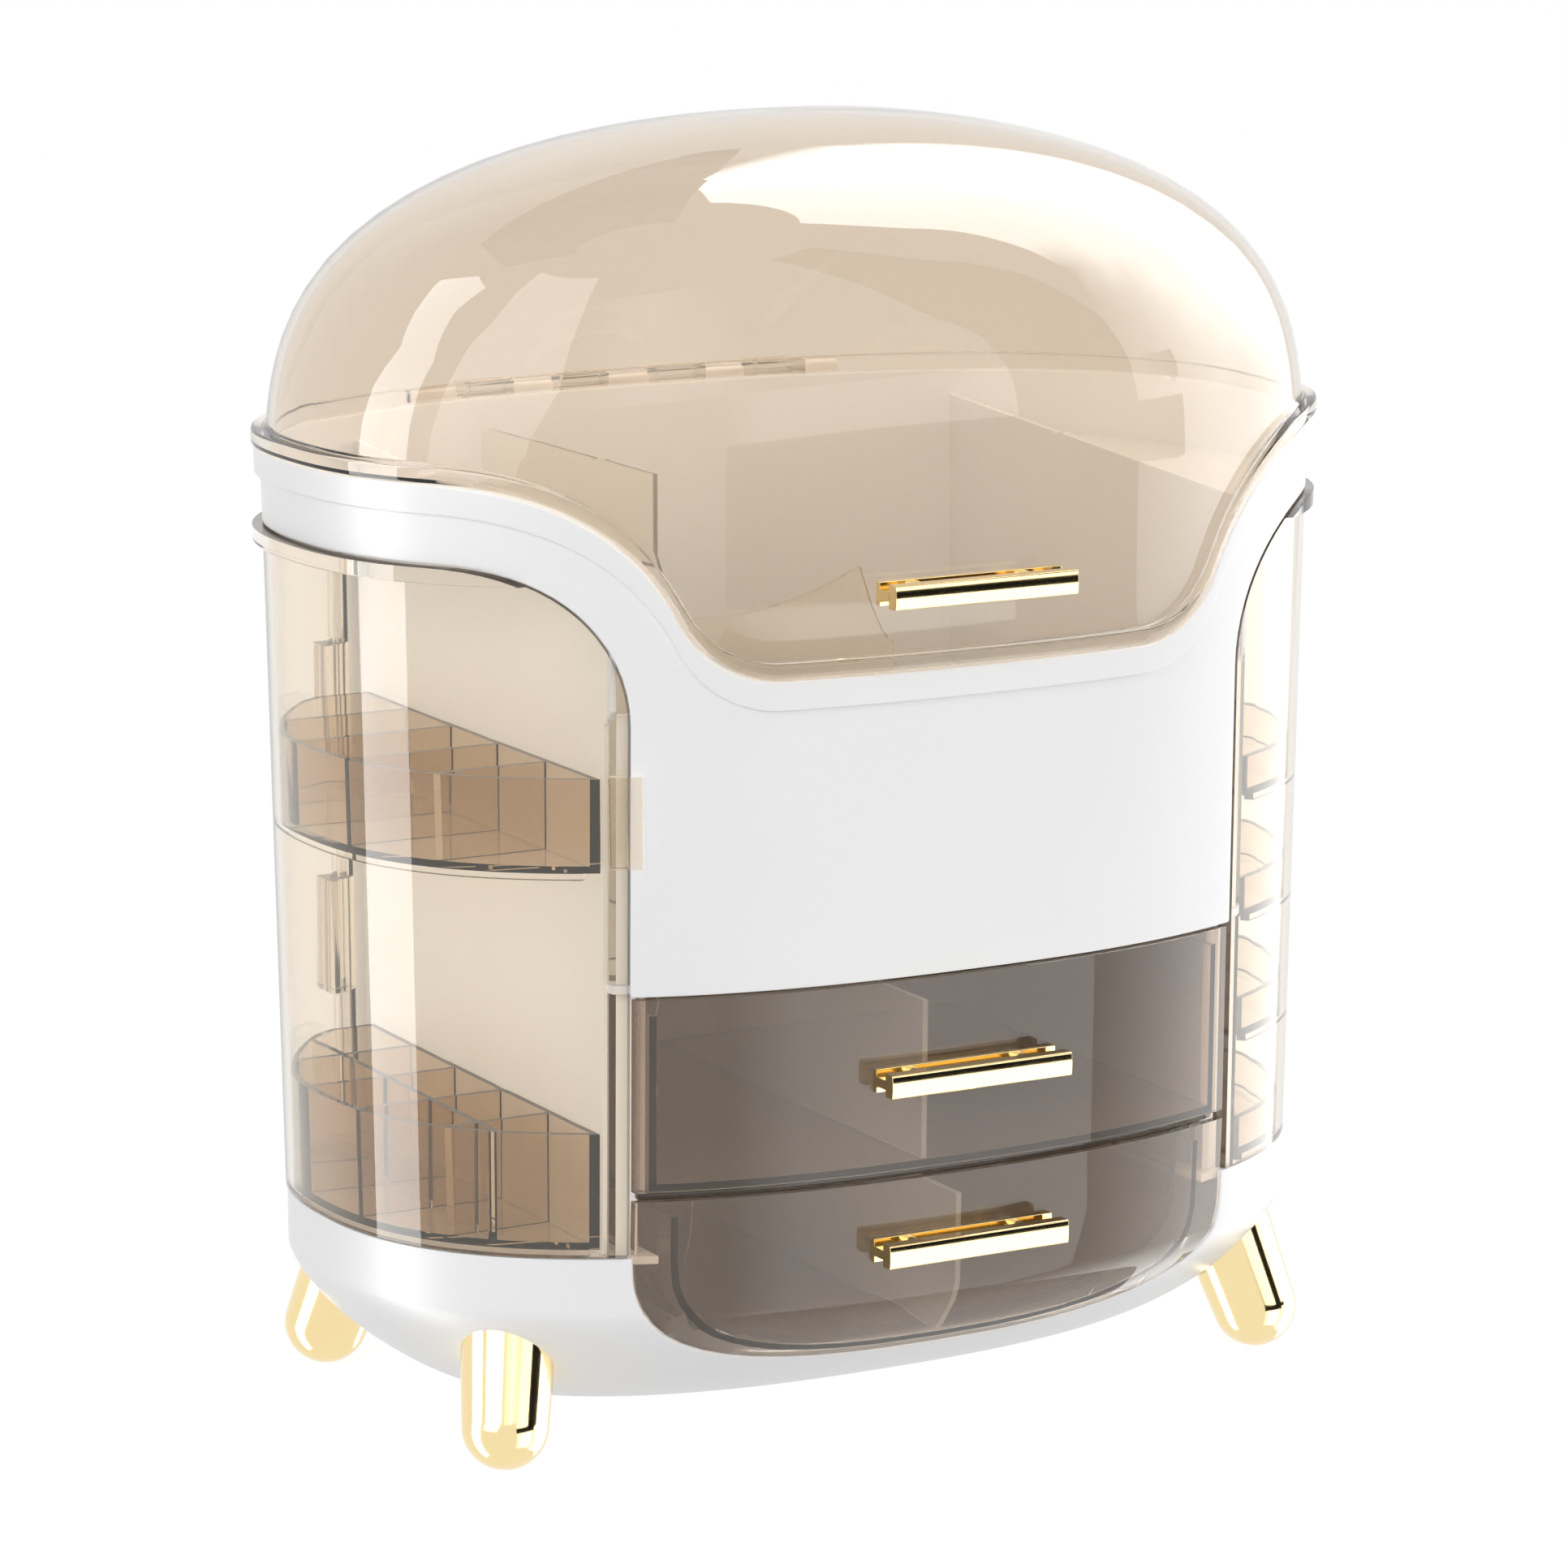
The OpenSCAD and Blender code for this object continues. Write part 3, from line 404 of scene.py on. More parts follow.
for foot_name, foot_side, foot_end in (("foot_front_left", -1, -1), ("foot_front_right", 1, -1),
                                       ("foot_back_left", -1, 1), ("foot_back_right", 1, 1)):
    foot(foot_name, foot_side, foot_end)

# Screws and hinge pins: plain steel, driven from below or from inside, where they hardly show.
# They keep the solids of the model.


def plain_steel():
    material, start = start_material("steel")
    grain = noise(start, 500, 2.0, (1, 1, 0.1))
    shader = start.node("BsdfPrincipled", {}, {"Base Color": (0.62, 0.62, 0.64, 1), "Metallic": 1.0,
                                               "Roughness": 0.25 + 0.15 * grain})
    start.node("OutputMaterial", {}, {"Surface": shader})
    return material


STEEL = plain_steel()


def dress(names, surface):
    """Gives nodes of the model their material."""
    for name in names:
        mesh = frame["nodes"][name].data
        mesh.materials.clear()
        mesh.materials.append(surface)


dress(["foot_screws", "case_screws", "lid_handle_screws", "upper_drawer_screws", "lower_drawer_screws",
       "lid_hinge_pin", "left_door_pin", "right_door_pin"], STEEL)

# Base deck: a white plate inside the tub under the side doors, screwed between tub and upper body.
# Its solid is merged and its edges are eased.
SOLID_WELD = 0.003      # distance at which the corners of a solid's triangles are joined
SOLID_FLAT = 0.15       # angle below which its faces count as one flat face
SOLID_SHARP = 50        # angle from which its edges are eased
SOLID_EDGE = 0.25


def softened(node, name, surface, lift=0):
    """A merged copy of a node's solid, with its flat faces joined and its edges eased.

    A clear piece on an opaque floor is lifted a hair, so that light gets in between.
    """
    bm = bmesh.new()
    bm.from_mesh(frame["nodes"][node].data)
    bmesh.ops.scale(bm, vec=(1 / MM, 1 / MM, 1 / MM), verts=bm.verts)
    bmesh.ops.remove_doubles(bm, verts=bm.verts, dist=SOLID_WELD)
    bmesh.ops.dissolve_limit(bm, angle_limit=math.radians(SOLID_FLAT), verts=bm.verts, edges=bm.edges,
                             delimit={"NORMAL"})
    ease(bm, sharp_edges(bm, SOLID_SHARP), SOLID_EDGE, 1)
    bmesh.ops.translate(bm, vec=(0, 0, lift), verts=bm.verts)
    finish(bm, name, frame["nodes"][node]["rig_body"], surface, [node])


softened("base_deck", "base_deck_plate", WHITE)

# Upper body: the white case of glossy moulded ABS. Its oval wall has the front panel, a lip under the
# rim, which dips in front, and openings for the doors. Side walls, decks and a floor stiffen it.
PANEL_Z = 140.5         # lower edge of the front panel
FRONT_Z = 230           # rim of the upper body in front
DIP_HALF = 59           # half of the dip's level part
DIP_R = 32.5
CREST_R = 66.5
RIM_STEP = 1.5
LIP_H = 8.5
LIP_PROUD = 1.8
LIP_EDGE = 0.7
BODY_EDGE = 0.8
BODY_STEP = 12
DOOR_X = 101.4
DOOR_TOP = 263
DOOR_GAP = 0.5
DOOR_CORNER_R = 44.5
DOOR_EDGE_T = 4.2
OPENING_STEP = 6
HINGE_X = 112
HINGE_Y = 86.84
HINGE_SPLIT = 1         # the wall and the door each end this far from the hinge
WALL_X = 103.5
WALL_T = 2
WALL_EDGE = 0.4
WALL_IN = 1.3           # how far the side walls end inside the case wall's outer face
WALL_FRONT_Z = 266.5
WALL_BACK_Z = 280
WALL_RUN = 104.2        # half of the depth over which their tops rise
WALL_END_Y = 85
WALL_STEP_Z = (218, 223)
FLOOR_T = 2.4
FLOOR_Z = 144
FLOOR_LAP = 1
PLATE_PARTS = 24
JAMB_IN = DOOR_EDGE_T + 1   # depth of the jamb beside the drawers, behind the door's thick edge
PANEL_JAMB_IN = 1       # and of the one beside the panel
BAY_GAP = 0.5
JAMB_LAP = 0.1
KNUCKLE_R = 2.8
KNUCKLE_PITCH = 17
KNUCKLE_L = 16.2
KNUCKLE_COUNT = 9
ARM_TURN = 8            # angle at which a knuckle's arm leaves it
ARM_GAP = 0.4           # half of the gap between the arms of the case and of the lid
ARM_REACH = 12
ARM_DROP = 7.8
ARM_IN = 1.5            # how far the lid hinge's arms end inside the case wall's outer face
KNUCKLE_STEP = 10
LID_AXIS_Y = 111.698
LID_AXIS_Z = 286.7
DOOR_KNUCKLE_R = 3
DOOR_KNUCKLE_L = 35.3
DOOR_KNUCKLE_COUNT = 5
DOOR_HINGE_Z = 74
DOOR_PITCH = 36.1
DOOR_ARM = 7
DOOR_ARM_IN = 1.1       # how far the arms end inside the case wall's outer face
DOOR_ARM_DROP = 10
CREST_X = DIP_HALF + math.sqrt((DIP_R + CREST_R) ** 2 - (RIM_Z - FRONT_Z - DIP_R - CREST_R) ** 2)


def dip(x, gap=0):
    """Height at x of a line parallel to the front rim, where two joined arcs take it down to the dip."""
    u = abs(x)
    low_r, high_r = DIP_R - gap, CREST_R + gap
    if u <= DIP_HALF:
        return FRONT_Z + gap
    if u < DIP_HALF + (CREST_X - DIP_HALF) * low_r / (low_r + high_r):
        return FRONT_Z + DIP_R - math.sqrt(low_r ** 2 - (u - DIP_HALF) ** 2)
    if u < CREST_X:
        return RIM_Z - CREST_R + math.sqrt(high_r ** 2 - (CREST_X - u) ** 2)
    return RIM_Z + gap


def rim_height(arc):
    """Height of the rim. In front it hangs on x, which changes a little with the height."""
    z = RIM_Z
    if case_point(arc, 0, z).y < 0:
        for _ in range(4):
            z = dip(case_point(arc, 0, z).x)
    return z


def door_corner(grow, step):
    """Rounded upper corner of a door from the top down, or of its opening, larger by grow."""
    r = DOOR_CORNER_R + grow
    turns = [math.radians(a) for a in range(90, -1, -step)]
    return [(DOOR_X - grow + r - r * math.cos(a), DOOR_TOP + grow - r + r * math.sin(a)) for a in turns]


def opening_edge():
    """Front edge of the left door's opening from the top down to the panel's lower edge."""
    line = door_corner(DOOR_GAP, OPENING_STEP)
    high = line[-1][1]
    line += [(DOOR_X - DOOR_GAP, high + (PANEL_Z - high) * k / 4) for k in (1, 2, 3, 4)]
    return [(case_arc(-x, z), z) for x, z in line]


def rim_line(drop):
    """The rim all the way round, or a line under it, with its ends at the middle of the back."""
    count = round(ROUND / RIM_STEP)
    return [(ROUND * k / count, rim_height(ROUND * k / count) - drop) for k in range(count + 1)]


def mirrored(points):
    return [(ROUND - arc, z) for arc, z in reversed(points)]


# The wall's edge at the hinge is straight on the case, so it has a few points on the flat sheet
back_heights = (SEAM_Z, 127, 197, DOOR_TOP + DOOR_GAP)
back_edge = [(case_arc(-HINGE_X + HINGE_SPLIT, z, False), z) for z in back_heights]
lower_left = [(0, SEAM_Z)] + back_edge + opening_edge()
body_line = lower_left + mirrored(lower_left) + rim_line(0)[::-1]
body = plate(body_line, -SHELL, 0, BODY_EDGE, [(0, 0), (0, ROUND)])
slice_up(body, 0, SHEET_STEP, 0, ROUND)
slice_up(body, 1, BODY_STEP, SEAM_Z, RIM_Z)
bend(body, case_point, seam=True)
lip_line = rim_line(LIP_H) + rim_line(0)[::-1]
lip = plate(lip_line, -SHELL / 2, LIP_PROUD, LIP_EDGE, [(0, 0), (0, ROUND)])
slice_up(lip, 0, SHEET_STEP, 0, ROUND)
bend(lip, case_point, seam=True)
finish(join(body, lip), "upper_body_shell", "case", WHITE, ["upper_body"])


def wall_y(x, z, inset=0):
    """Y of the case wall at x, drawn in by inset."""
    half_x = HALF_W * spread(z) - inset
    return (HALF_D * spread(z) - inset) * (1 - abs(x / half_x) ** OVAL_N) ** (1 / OVAL_N)


def compartment_floor():
    """Level floor between the side walls, bounded by the case wall."""
    low = FLOOR_Z - FLOOR_T
    half = WALL_X + FLOOR_LAP
    xs = [-half + 2 * half * k / PLATE_PARTS for k in range(PLATE_PARTS + 1)]
    front = [(x, -wall_y(x, low, SHELL / 2)) for x in xs]
    return plate(front + [(x, -y) for x, y in reversed(front)], low, FLOOR_Z, 0)


def wall_top(y):
    """Height of a side wall's top, which rises towards the back."""
    return (WALL_FRONT_Z + WALL_BACK_Z) / 2 + (WALL_BACK_Z - WALL_FRONT_Z) / 2 * y / WALL_RUN


def side_wall(side):
    """Upright wall beside a door's racks. Under the lip it steps back to make room for the jamb."""
    middle = WALL_X + WALL_T / 2

    def reach(z, inset=WALL_IN):
        return wall_y(middle, z, inset)

    low_step, high_step = WALL_STEP_Z
    wall = plate([(-reach(SEAM_Z, JAMB_IN + JAMB_LAP), SEAM_Z), (reach(SEAM_Z), SEAM_Z),
                  (reach(WALL_BACK_Z), wall_top(WALL_END_Y)), (-reach(WALL_FRONT_Z), wall_top(-WALL_END_Y)),
                  (-reach(high_step - 1), high_step), (-reach(low_step - 1, JAMB_IN + JAMB_LAP), low_step)],
                 WALL_X, WALL_X + WALL_T, WALL_EDGE)
    for v in wall.verts:
        v.co = Vector((v.co.z * side, v.co.x, v.co.y))
    return wall


def side_deck(side):
    """Level plate over a door's opening, from the side wall out to the case wall."""
    low = DOOR_TOP + DOOR_GAP
    out = HALF_W * spread(DOOR_TOP) - SHELL / 2
    inward = out - WALL_X - WALL_T / 2
    xs = [out - inward * (k / PLATE_PARTS) ** 2 for k in range(PLATE_PARTS, 0, -1)]
    front = [(x, -wall_y(x, low, SHELL / 2)) for x in xs]
    line = front + [(out, 0)] + [(x, -y) for x, y in reversed(front)]
    return plate([(side * x, y) for x, y in line], low, low + FLOOR_T, 0)


def jamb(side, x0, x1, low, depth):
    """Strip behind the front edge of a door's opening, from a height up to the lip."""
    high = FRONT_Z - LIP_H
    corners = [(x0, low), (x1, low), (x1, high), (x0, high)]
    strip = plate([(case_arc(side * x, z), z) for x, z in corners], -JAMB_IN - WALL_T, depth)
    bend(strip, case_point)
    return strip


inner = compartment_floor()
for side in (-1, 1):
    join(inner, side_wall(side))
    join(inner, side_deck(side))
    join(inner, jamb(side, DOOR_X - DOOR_GAP - WALL_T, DOOR_X - DOOR_GAP, PANEL_Z, -PANEL_JAMB_IN))
    join(inner, jamb(side, FRONT_HALF + BAY_GAP, WALL_X + WALL_T, SEAM_Z, -JAMB_IN))


def arc_line(radius, start, end):
    """Points on a circle round the origin, from one angle to another in degrees."""
    steps = max(2, round(abs(end - start) / KNUCKLE_STEP))
    angles = [math.radians(start + (end - start) * k / steps) for k in range(steps + 1)]
    return [(radius * math.cos(a), radius * math.sin(a)) for a in angles]


def lid_knuckles(bm, first, profile):
    """Knuckles of the lid hinge, each with an arm that ends inside the wall."""
    for k in range(first, KNUCKLE_COUNT, 2):
        middle = (k - KNUCKLE_COUNT // 2) * KNUCKLE_PITCH
        part = plate(profile, middle - KNUCKLE_L / 2, middle + KNUCKLE_L / 2)
        for v in part.verts:
            y, z, x = v.co
            in_wall = y < -ARM_REACH / 2
            v.co = Vector((x, wall_y(x, RIM_Z, ARM_IN) if in_wall else LID_AXIS_Y + y, LID_AXIS_Z + z))
        join(bm, part)


def door_knuckles(bm, first, side, reach):
    """Knuckles of a door hinge, with arms that end in the wall. Reach above 0 runs away from the middle."""
    way = math.copysign(1, reach)
    for k in range(first, DOOR_KNUCKLE_COUNT, 2):
        low = DOOR_HINGE_Z + k * DOOR_PITCH
        line = arc_line(DOOR_KNUCKLE_R, 0, 270)
        for n in range(5):
            x = HINGE_X + reach * n / 4
            line.append((abs(reach) * n / 4, max(-DOOR_ARM_DROP, wall_y(x, low, DOOR_ARM_IN) - HINGE_Y)))
        part = plate(line + [(abs(reach), 0)], low, low + DOOR_KNUCKLE_L)
        for v in part.verts:
            v.co = Vector((side * (HINGE_X + way * v.co.x), HINGE_Y + v.co.y, v.co.z))
        join(bm, part)


case_arm = [(0, -ARM_DROP), (-ARM_REACH, -ARM_DROP), (-ARM_REACH, -ARM_GAP)]
lid_knuckles(inner, 0, arc_line(KNUCKLE_R, 180 + ARM_TURN, -90) + case_arm)
for side in (-1, 1):
    door_knuckles(inner, 0, side, -DOOR_ARM)
bmesh.ops.recalc_face_normals(inner, faces=inner.faces)
finish(inner, "upper_body_walls", "case", WHITE)

# Drawer housing: two open bays of smoked plastic behind the drawer fronts, with a shelf between them.
# It is one moulding, and slides in under the compartment floor.


def clear_plastic(name, tint, shade, rough=(0.01, 0.03), clear=1.0, ior=1.49, painted_edge_shade=None):
    """Clear plastic with faint smudges. Lamps shine through it, dimmed by its shade.

    Given an edge colour, the faces marked on the mesh as edges are mixed strongly towards it. This is
    painted shade that stands in for the dark refraction along thick edges and ledges.
    """
    material, start = start_material(name)
    smudge = noise(start, 25, 3.0)
    wave = noise(start, 12, 1.0)
    bump = start.node("Bump", {}, {"Strength": 0.05, "Distance": 0.001, "Height": wave})
    glass = start.node("BsdfPrincipled", {}, {"Base Color": tint, "Transmission Weight": clear, "IOR": ior,
                                              "Roughness": rough[0] + (rough[1] - rough[0]) * smudge,
                                              "Normal": bump})
    # Painted shade: the marked edge faces turn dark and opaque, standing in for the refraction of dark
    # surroundings.
    if painted_edge_shade:
        painted_edge_mask = start.node("Attribute", {"attribute_name": "painted_dark_edge"}, out="Fac")
        dark = start.node("BsdfPrincipled", {}, {"Base Color": painted_edge_shade, "Roughness": 0.2})
        glass = start.node("MixShader", {}, {0: 0.85 * painted_edge_mask, 1: glass, 2: dark})
    through = start.node("BsdfTransparent", {}, {"Color": shade})
    shadow = start.node("LightPath", out="Is Shadow Ray")
    mixed = start.node("MixShader", {}, {0: shadow, 1: glass, 2: through})
    start.node("OutputMaterial", {}, {"Surface": mixed})
    return material


SMOKE = clear_plastic("smoked_clear", (0.79, 0.69, 0.59, 1), (0.97, 0.95, 0.93, 1), clear=0.95)
softened("drawer_housing", "drawer_housing_bays", SMOKE)

# Drawers: smoked moulded boxes behind curved fronts of the same plastic, open at the top.
# The lower front follows the rounded notch of the tub. Each has one divider of clear plastic.
HAIR = 0.12             # lift that lets light in under a clear piece
MILKY = clear_plastic("champagne_milky", (0.96, 0.95, 0.93, 1), (0.99, 0.98, 0.96, 1), (0.02, 0.05), 0.85)
for drawer in ("upper_drawer", "lower_drawer"):
    softened(drawer, drawer + "_box", SMOKE)
for drawer in ("upper_drawer", "lower_drawer"):
    softened(drawer + "_divider", drawer + "_partition", MILKY, HAIR)

# Handles: gold plated bars, one on the lid and one on each drawer. A web and two posts hold the bar off
# a flat strip. The bar's face bulges a little, and screws from inside hold each handle.
HANDLE_L = 60
HANDLE_H = 7
HANDLE_OUT = 11.5       # how far the bar stands out from the face behind it
STRIP_T = 2
BAR_T = 4.4
BAR_BULGE = 0.3
BAR_FLAT = 0.93         # share of the bar's height that bulges
BAR_EDGE = 0.25
WEB_T = 2.8
POST_R = 2.9
POST_X = 18
POST_SIDES = 32
JOINT_LAP = 0.3


def block(low, high, half):
    """Outline of a bar between two distances, as high as twice the half."""
    return [(low, -half), (high, -half), (high, half), (low, half)]


def handle(name, stands_for, body, face, z):
    """A handle against a face at this distance in front of the middle of the case."""
    half = HANDLE_H / 2
    back = face + HANDLE_OUT - BAR_T
    web = (face + STRIP_T - JOINT_LAP, back + JOINT_LAP)
    bulge = [(face + HANDLE_OUT - BAR_BULGE * (k / 6) ** 2, half * BAR_FLAT * k / 6) for k in range(-6, 7)]
    shoulder = bulge[0][0] - BAR_EDGE
    bar = [(back, -half), (shoulder, -half)] + bulge + [(shoulder, half), (back, half)]
    strip = block(face, face + STRIP_T, half)
    bm = bmesh.new()
    for profile, edge in ((strip, EDGE), (block(*web, WEB_T / 2), 0), (bar, BAR_EDGE)):
        part = plate(profile, -HANDLE_L / 2, HANDLE_L / 2, edge)
        for v in part.verts:
            v.co = Vector((v.co.z, -v.co.x, z + v.co.y))
        join(bm, part)
    for side in (-1, 1):
        turns = [math.tau * k / POST_SIDES for k in range(POST_SIDES)]
        ring = [(side * POST_X + POST_R * math.cos(turn), z + POST_R * math.sin(turn)) for turn in turns]
        post = plate(ring, *web, 0)
        for v in post.verts:
            v.co = Vector((v.co.x, -v.co.z, v.co.y))
        join(bm, post)
    bmesh.ops.recalc_face_normals(bm, faces=bm.faces)
    finish(bm, name, body, GOLD, [stands_for])


def front_face(node):
    """Distance in front of the middle at which a handle of the model begins, and its height."""
    spots = [v.co / MM for v in frame["nodes"][node].data.vertices]
    heights = [v.z for v in spots]
    return -max(v.y for v in spots), (min(heights) + max(heights)) / 2


for body in ("lid", "upper_drawer", "lower_drawer"):
    handle(body + "_pull", body + "_handle", body, *front_face(body + "_handle"))

# Top insert: a low clear tray on the compartment floor, with a tall divider on the left and a swept one
# in front. It is one moulding of a paler plastic, and lifts out.
PALE = clear_plastic("champagne_pale", (0.95, 0.92, 0.87, 1), (0.99, 0.98, 0.96, 1), clear=0.9, ior=1.12)
softened("top_insert", "top_insert_tray", PALE, HAIR)

# Side doors: clear champagne shells that follow the case, each with a bead along its top, a thick strip
# along its front and back edges, and ledges that carry its racks or trays. Each swings on the pin in its
# knuckles, which are moulded with it.
DOOR_WALL = 2.2
DOOR_EASE = 0.5
DOOR_STEP = 5
DOOR_EDGE_W = 5.6       # width of the thick strip along the front edge, and along the back edge
BACK_EDGE_W = 5
BACK_EDGE_T = 3.4
BEAD_H = 4.5
BEAD_PROUD = 3.3
BEAD_FRONT = 0.4
LEDGE_H = 2
LEDGE_W = 2.4
LEDGE_BACK_X = 119      # where the ledges end at the back and at the front
LEDGE_FRONT_X = 113
LEDGE_MIDDLE = 160      # height at which these ends are measured
RACK_Z = (66.5, 176.5)
TRAY_Z = (66.5, 103.5, 140.5, 177.5)
LEDGE_CLEAR = 0.1       # a ledge nearer than this to the door's lower edge ends in that edge
DOOR_PIN_ARM = 8
TILTED = 0.9            # a face whose normal has less depth than this is no part of the skin
FACING = 0.3            # a face whose normal has more than this towards the front or the top faces there
SHEET_WELD = 0.01
SHEET_FLAT = 0.1
# The door's dark edge colour is painted shade along its thick edges and ledges, where clear plastic looks
# dark by refraction.
DOOR_CLEAR = clear_plastic("champagne_door", (0.945, 0.88, 0.785, 1), (0.99, 0.98, 0.96, 1),
                           painted_edge_shade=(0.12, 0.09, 0.07, 1))


def door_place(arc, depth, z):
    """Place on a door. Its bead, which has a depth above 0, stands out at the side and hardly in front."""
    if depth <= 0:
        return case_point(arc, depth, z)
    half_x = HALF_W * spread(z) + depth * BEAD_PROUD
    half_y = HALF_D * spread(z) + depth * BEAD_FRONT
    return Vector((*oval(turn_of(arc), half_x, half_y), z))


def cut(bm, point, along):
    """Cuts a flat sheet across a line through a point."""
    bmesh.ops.bisect_plane(bm, geom=bm.verts[:] + bm.edges[:] + bm.faces[:], dist=CUT,
                           plane_co=(*point, 0), plane_no=(-along[1], along[0], 0))


def swell(bm, skin, reach, within):
    """Pushes out the part of a flat sheet's skin that lies within a region, by reach in depth."""
    faces = [f for f in bm.faces if all(abs(v.co.z - skin) < NEAR for v in f.verts)
             and within(*f.calc_center_median().xy)]
    made = bmesh.ops.extrude_face_region(bm, geom=faces)
    bmesh.ops.delete(bm, geom=faces, context="FACES")
    moved = [g for g in made["geom"] if isinstance(g, bmesh.types.BMVert)]
    bmesh.ops.translate(bm, vec=(0, 0, reach), verts=moved)


def door(name, side, ledges):
    """A door drawn flat as seen from outside on the left, then bent, and mirrored for the right."""
    low = SEAM_Z + DOOR_GAP
    front = [(case_arc(-x, z), z) for x, z in door_corner(0, DOOR_STEP)]
    back = [case_arc(-HINGE_X - HINGE_SPLIT, z, False) for z in (low, DOOR_TOP)]
    outline = [(back[0], low), (case_arc(-DOOR_X, low), low)] + front[::-1] + [(back[1], DOOR_TOP)]
    flat = plate(outline, -DOOR_WALL, 0, 0)

    strip = [case_arc(-DOOR_X - DOOR_EDGE_W, z) for z in (low, DOOR_TOP)]
    heel = [case_arc(-HINGE_X - HINGE_SPLIT - BACK_EDGE_W, z, False) for z in (low, DOOR_TOP)]
    for line in (strip, heel):
        cut(flat, (line[0], low), (line[1] - line[0], DOOR_TOP - low))
    cut(flat, (0, DOOR_TOP - BEAD_H), (1, 0))
    for z in ledges:
        cut(flat, (0, z), (1, 0))
        if z - LEDGE_H > low + LEDGE_CLEAR:
            cut(flat, (0, z - LEDGE_H), (1, 0))
    ledge_back = case_arc(-LEDGE_BACK_X, LEDGE_MIDDLE, False)
    ledge_front = case_arc(-LEDGE_FRONT_X, LEDGE_MIDDLE)
    for arc in (ledge_back, ledge_front):
        cut(flat, (arc, 0), (0, 1))

    def between(line, z):
        return line[0] + (line[1] - line[0]) * (z - low) / (DOOR_TOP - low)

    swell(flat, -DOOR_WALL, DOOR_WALL - DOOR_EDGE_T, lambda arc, z: arc > between(strip, z))
    swell(flat, -DOOR_WALL, DOOR_WALL - BACK_EDGE_T, lambda arc, z: arc < between(heel, z))
    for top in ledges:
        swell(flat, -DOOR_WALL, -LEDGE_W,
              lambda arc, z: ledge_back < arc < ledge_front and top - LEDGE_H < z < top)
    swell(flat, 0, 1, lambda arc, z: z > DOOR_TOP - BEAD_H)
    bmesh.ops.remove_doubles(flat, verts=flat.verts, dist=SHEET_WELD)
    bmesh.ops.dissolve_limit(flat, angle_limit=math.radians(SHEET_FLAT), verts=flat.verts, edges=flat.edges)
    bmesh.ops.recalc_face_normals(flat, faces=flat.faces)
    ease(flat, sharp_edges(flat), DOOR_EASE)

    # Painted shade: the edge faces of the thick front strip and of the bead that face forward or up, and
    # the ledges' faces, are marked to be painted dark for the dark refraction seen along them.
    painted_edge_mask = flat.faces.layers.float.new("painted_dark_edge")
    for face in flat.faces:
        arc, z, depth = face.calc_center_median()
        outward = abs(face.normal.z) < TILTED and max(face.normal.x, face.normal.y) > FACING
        ledge = depth < -DOOR_WALL and ledge_back < arc < ledge_front and abs(face.normal.y) > FACING
        if ledge or outward and (arc > between(strip, z) or depth > -DOOR_WALL):
            face[painted_edge_mask] = 1
    slice_up(flat, 0, SHEET_STEP, back[0], max(arc for arc, z in front))
    bend(flat, door_place)
    if side > 0:
        bmesh.ops.scale(flat, vec=(-1, 1, 1), verts=flat.verts)
    door_knuckles(flat, 1, side, DOOR_PIN_ARM)
    bmesh.ops.recalc_face_normals(flat, faces=flat.faces)
    finish(flat, name + "_shell", name, DOOR_CLEAR, [name])


door("left_door", -1, RACK_Z)
door("right_door", 1, TRAY_Z)

# Finger tab: a small clear plate on the left door that laps over the white front panel. It is moulded
# with the door, and a finger behind it swings the door open.
TAB_Z = (178, 205)
TAB_MIDDLE = 190
TAB_ROOT_X = 106
TAB_END_X = 97
TAB_ROOT = -1
TAB_BACK = 0.6          # gap between the tab and the panel
TAB_FACE = 2.2
TAB_EDGE = 0.5
root, step, end = [case_arc(-x, TAB_MIDDLE) for x in (TAB_ROOT_X, DOOR_X + 0.1, TAB_END_X)]
tab = plate([(root, TAB_ROOT), (step, TAB_ROOT), (step, TAB_BACK), (end, TAB_BACK), (end, TAB_FACE),
             (root, TAB_FACE)], *TAB_Z, TAB_EDGE)
for v in tab.verts:
    v.co = case_point(*v.co)
bmesh.ops.recalc_face_normals(tab, faces=tab.faces)
finish(tab, "left_door_tab", "left_door", DOOR_CLEAR)

# Racks and trays: thin clear boxes that stand on the ledges of the doors, with cross walls on the left.
# Each is one moulding with softened edges.
CHAMPAGNE = clear_plastic("champagne_clear", (0.84, 0.76, 0.665, 1), (0.99, 0.97, 0.94, 1))
for bin_node in ("left_rack_lower", "left_rack_upper", "right_tray_bottom", "right_tray_lower",
                 "right_tray_middle", "right_tray_top"):
    softened(bin_node, bin_node + "_bin", CHAMPAGNE)

# Dome lid: one thin moulded shell of clear champagne plastic. Its flange follows the dipping rim and
# stands proud of it, and the hinge knuckles at its back are a mesh of their own in the paler plastic.
DOME_H = 115
DOME_Z = RIM_Z - 21.8   # level at which its form would be widest
DOME_A = 161            # half of its width and depth there
DOME_B = 102.998
LID_WALL = 2.2
FLANGE_OUT = 3.7
FLANGE_H = 4.6
FLANGE_FOOT = 0.15      # small rounding where the shell leaves the flange
LID_ARM_RISE = 4.4
SEAT_GAP = 0.4
SIDE_POWER = 2 / 2.07
CROWN_POWER = 2 / 3.31
DOME_START_Z = 294      # height from which the sections share their levels
DOME_STEP = 1.5
CROWNS = [6.2, 8, 10, 13, 16, 20, 24, 29, 34, 39, 44, 49, 54, 59, 64, 69, 73, 77, 80, 83, 85.5, 87.5, 89]


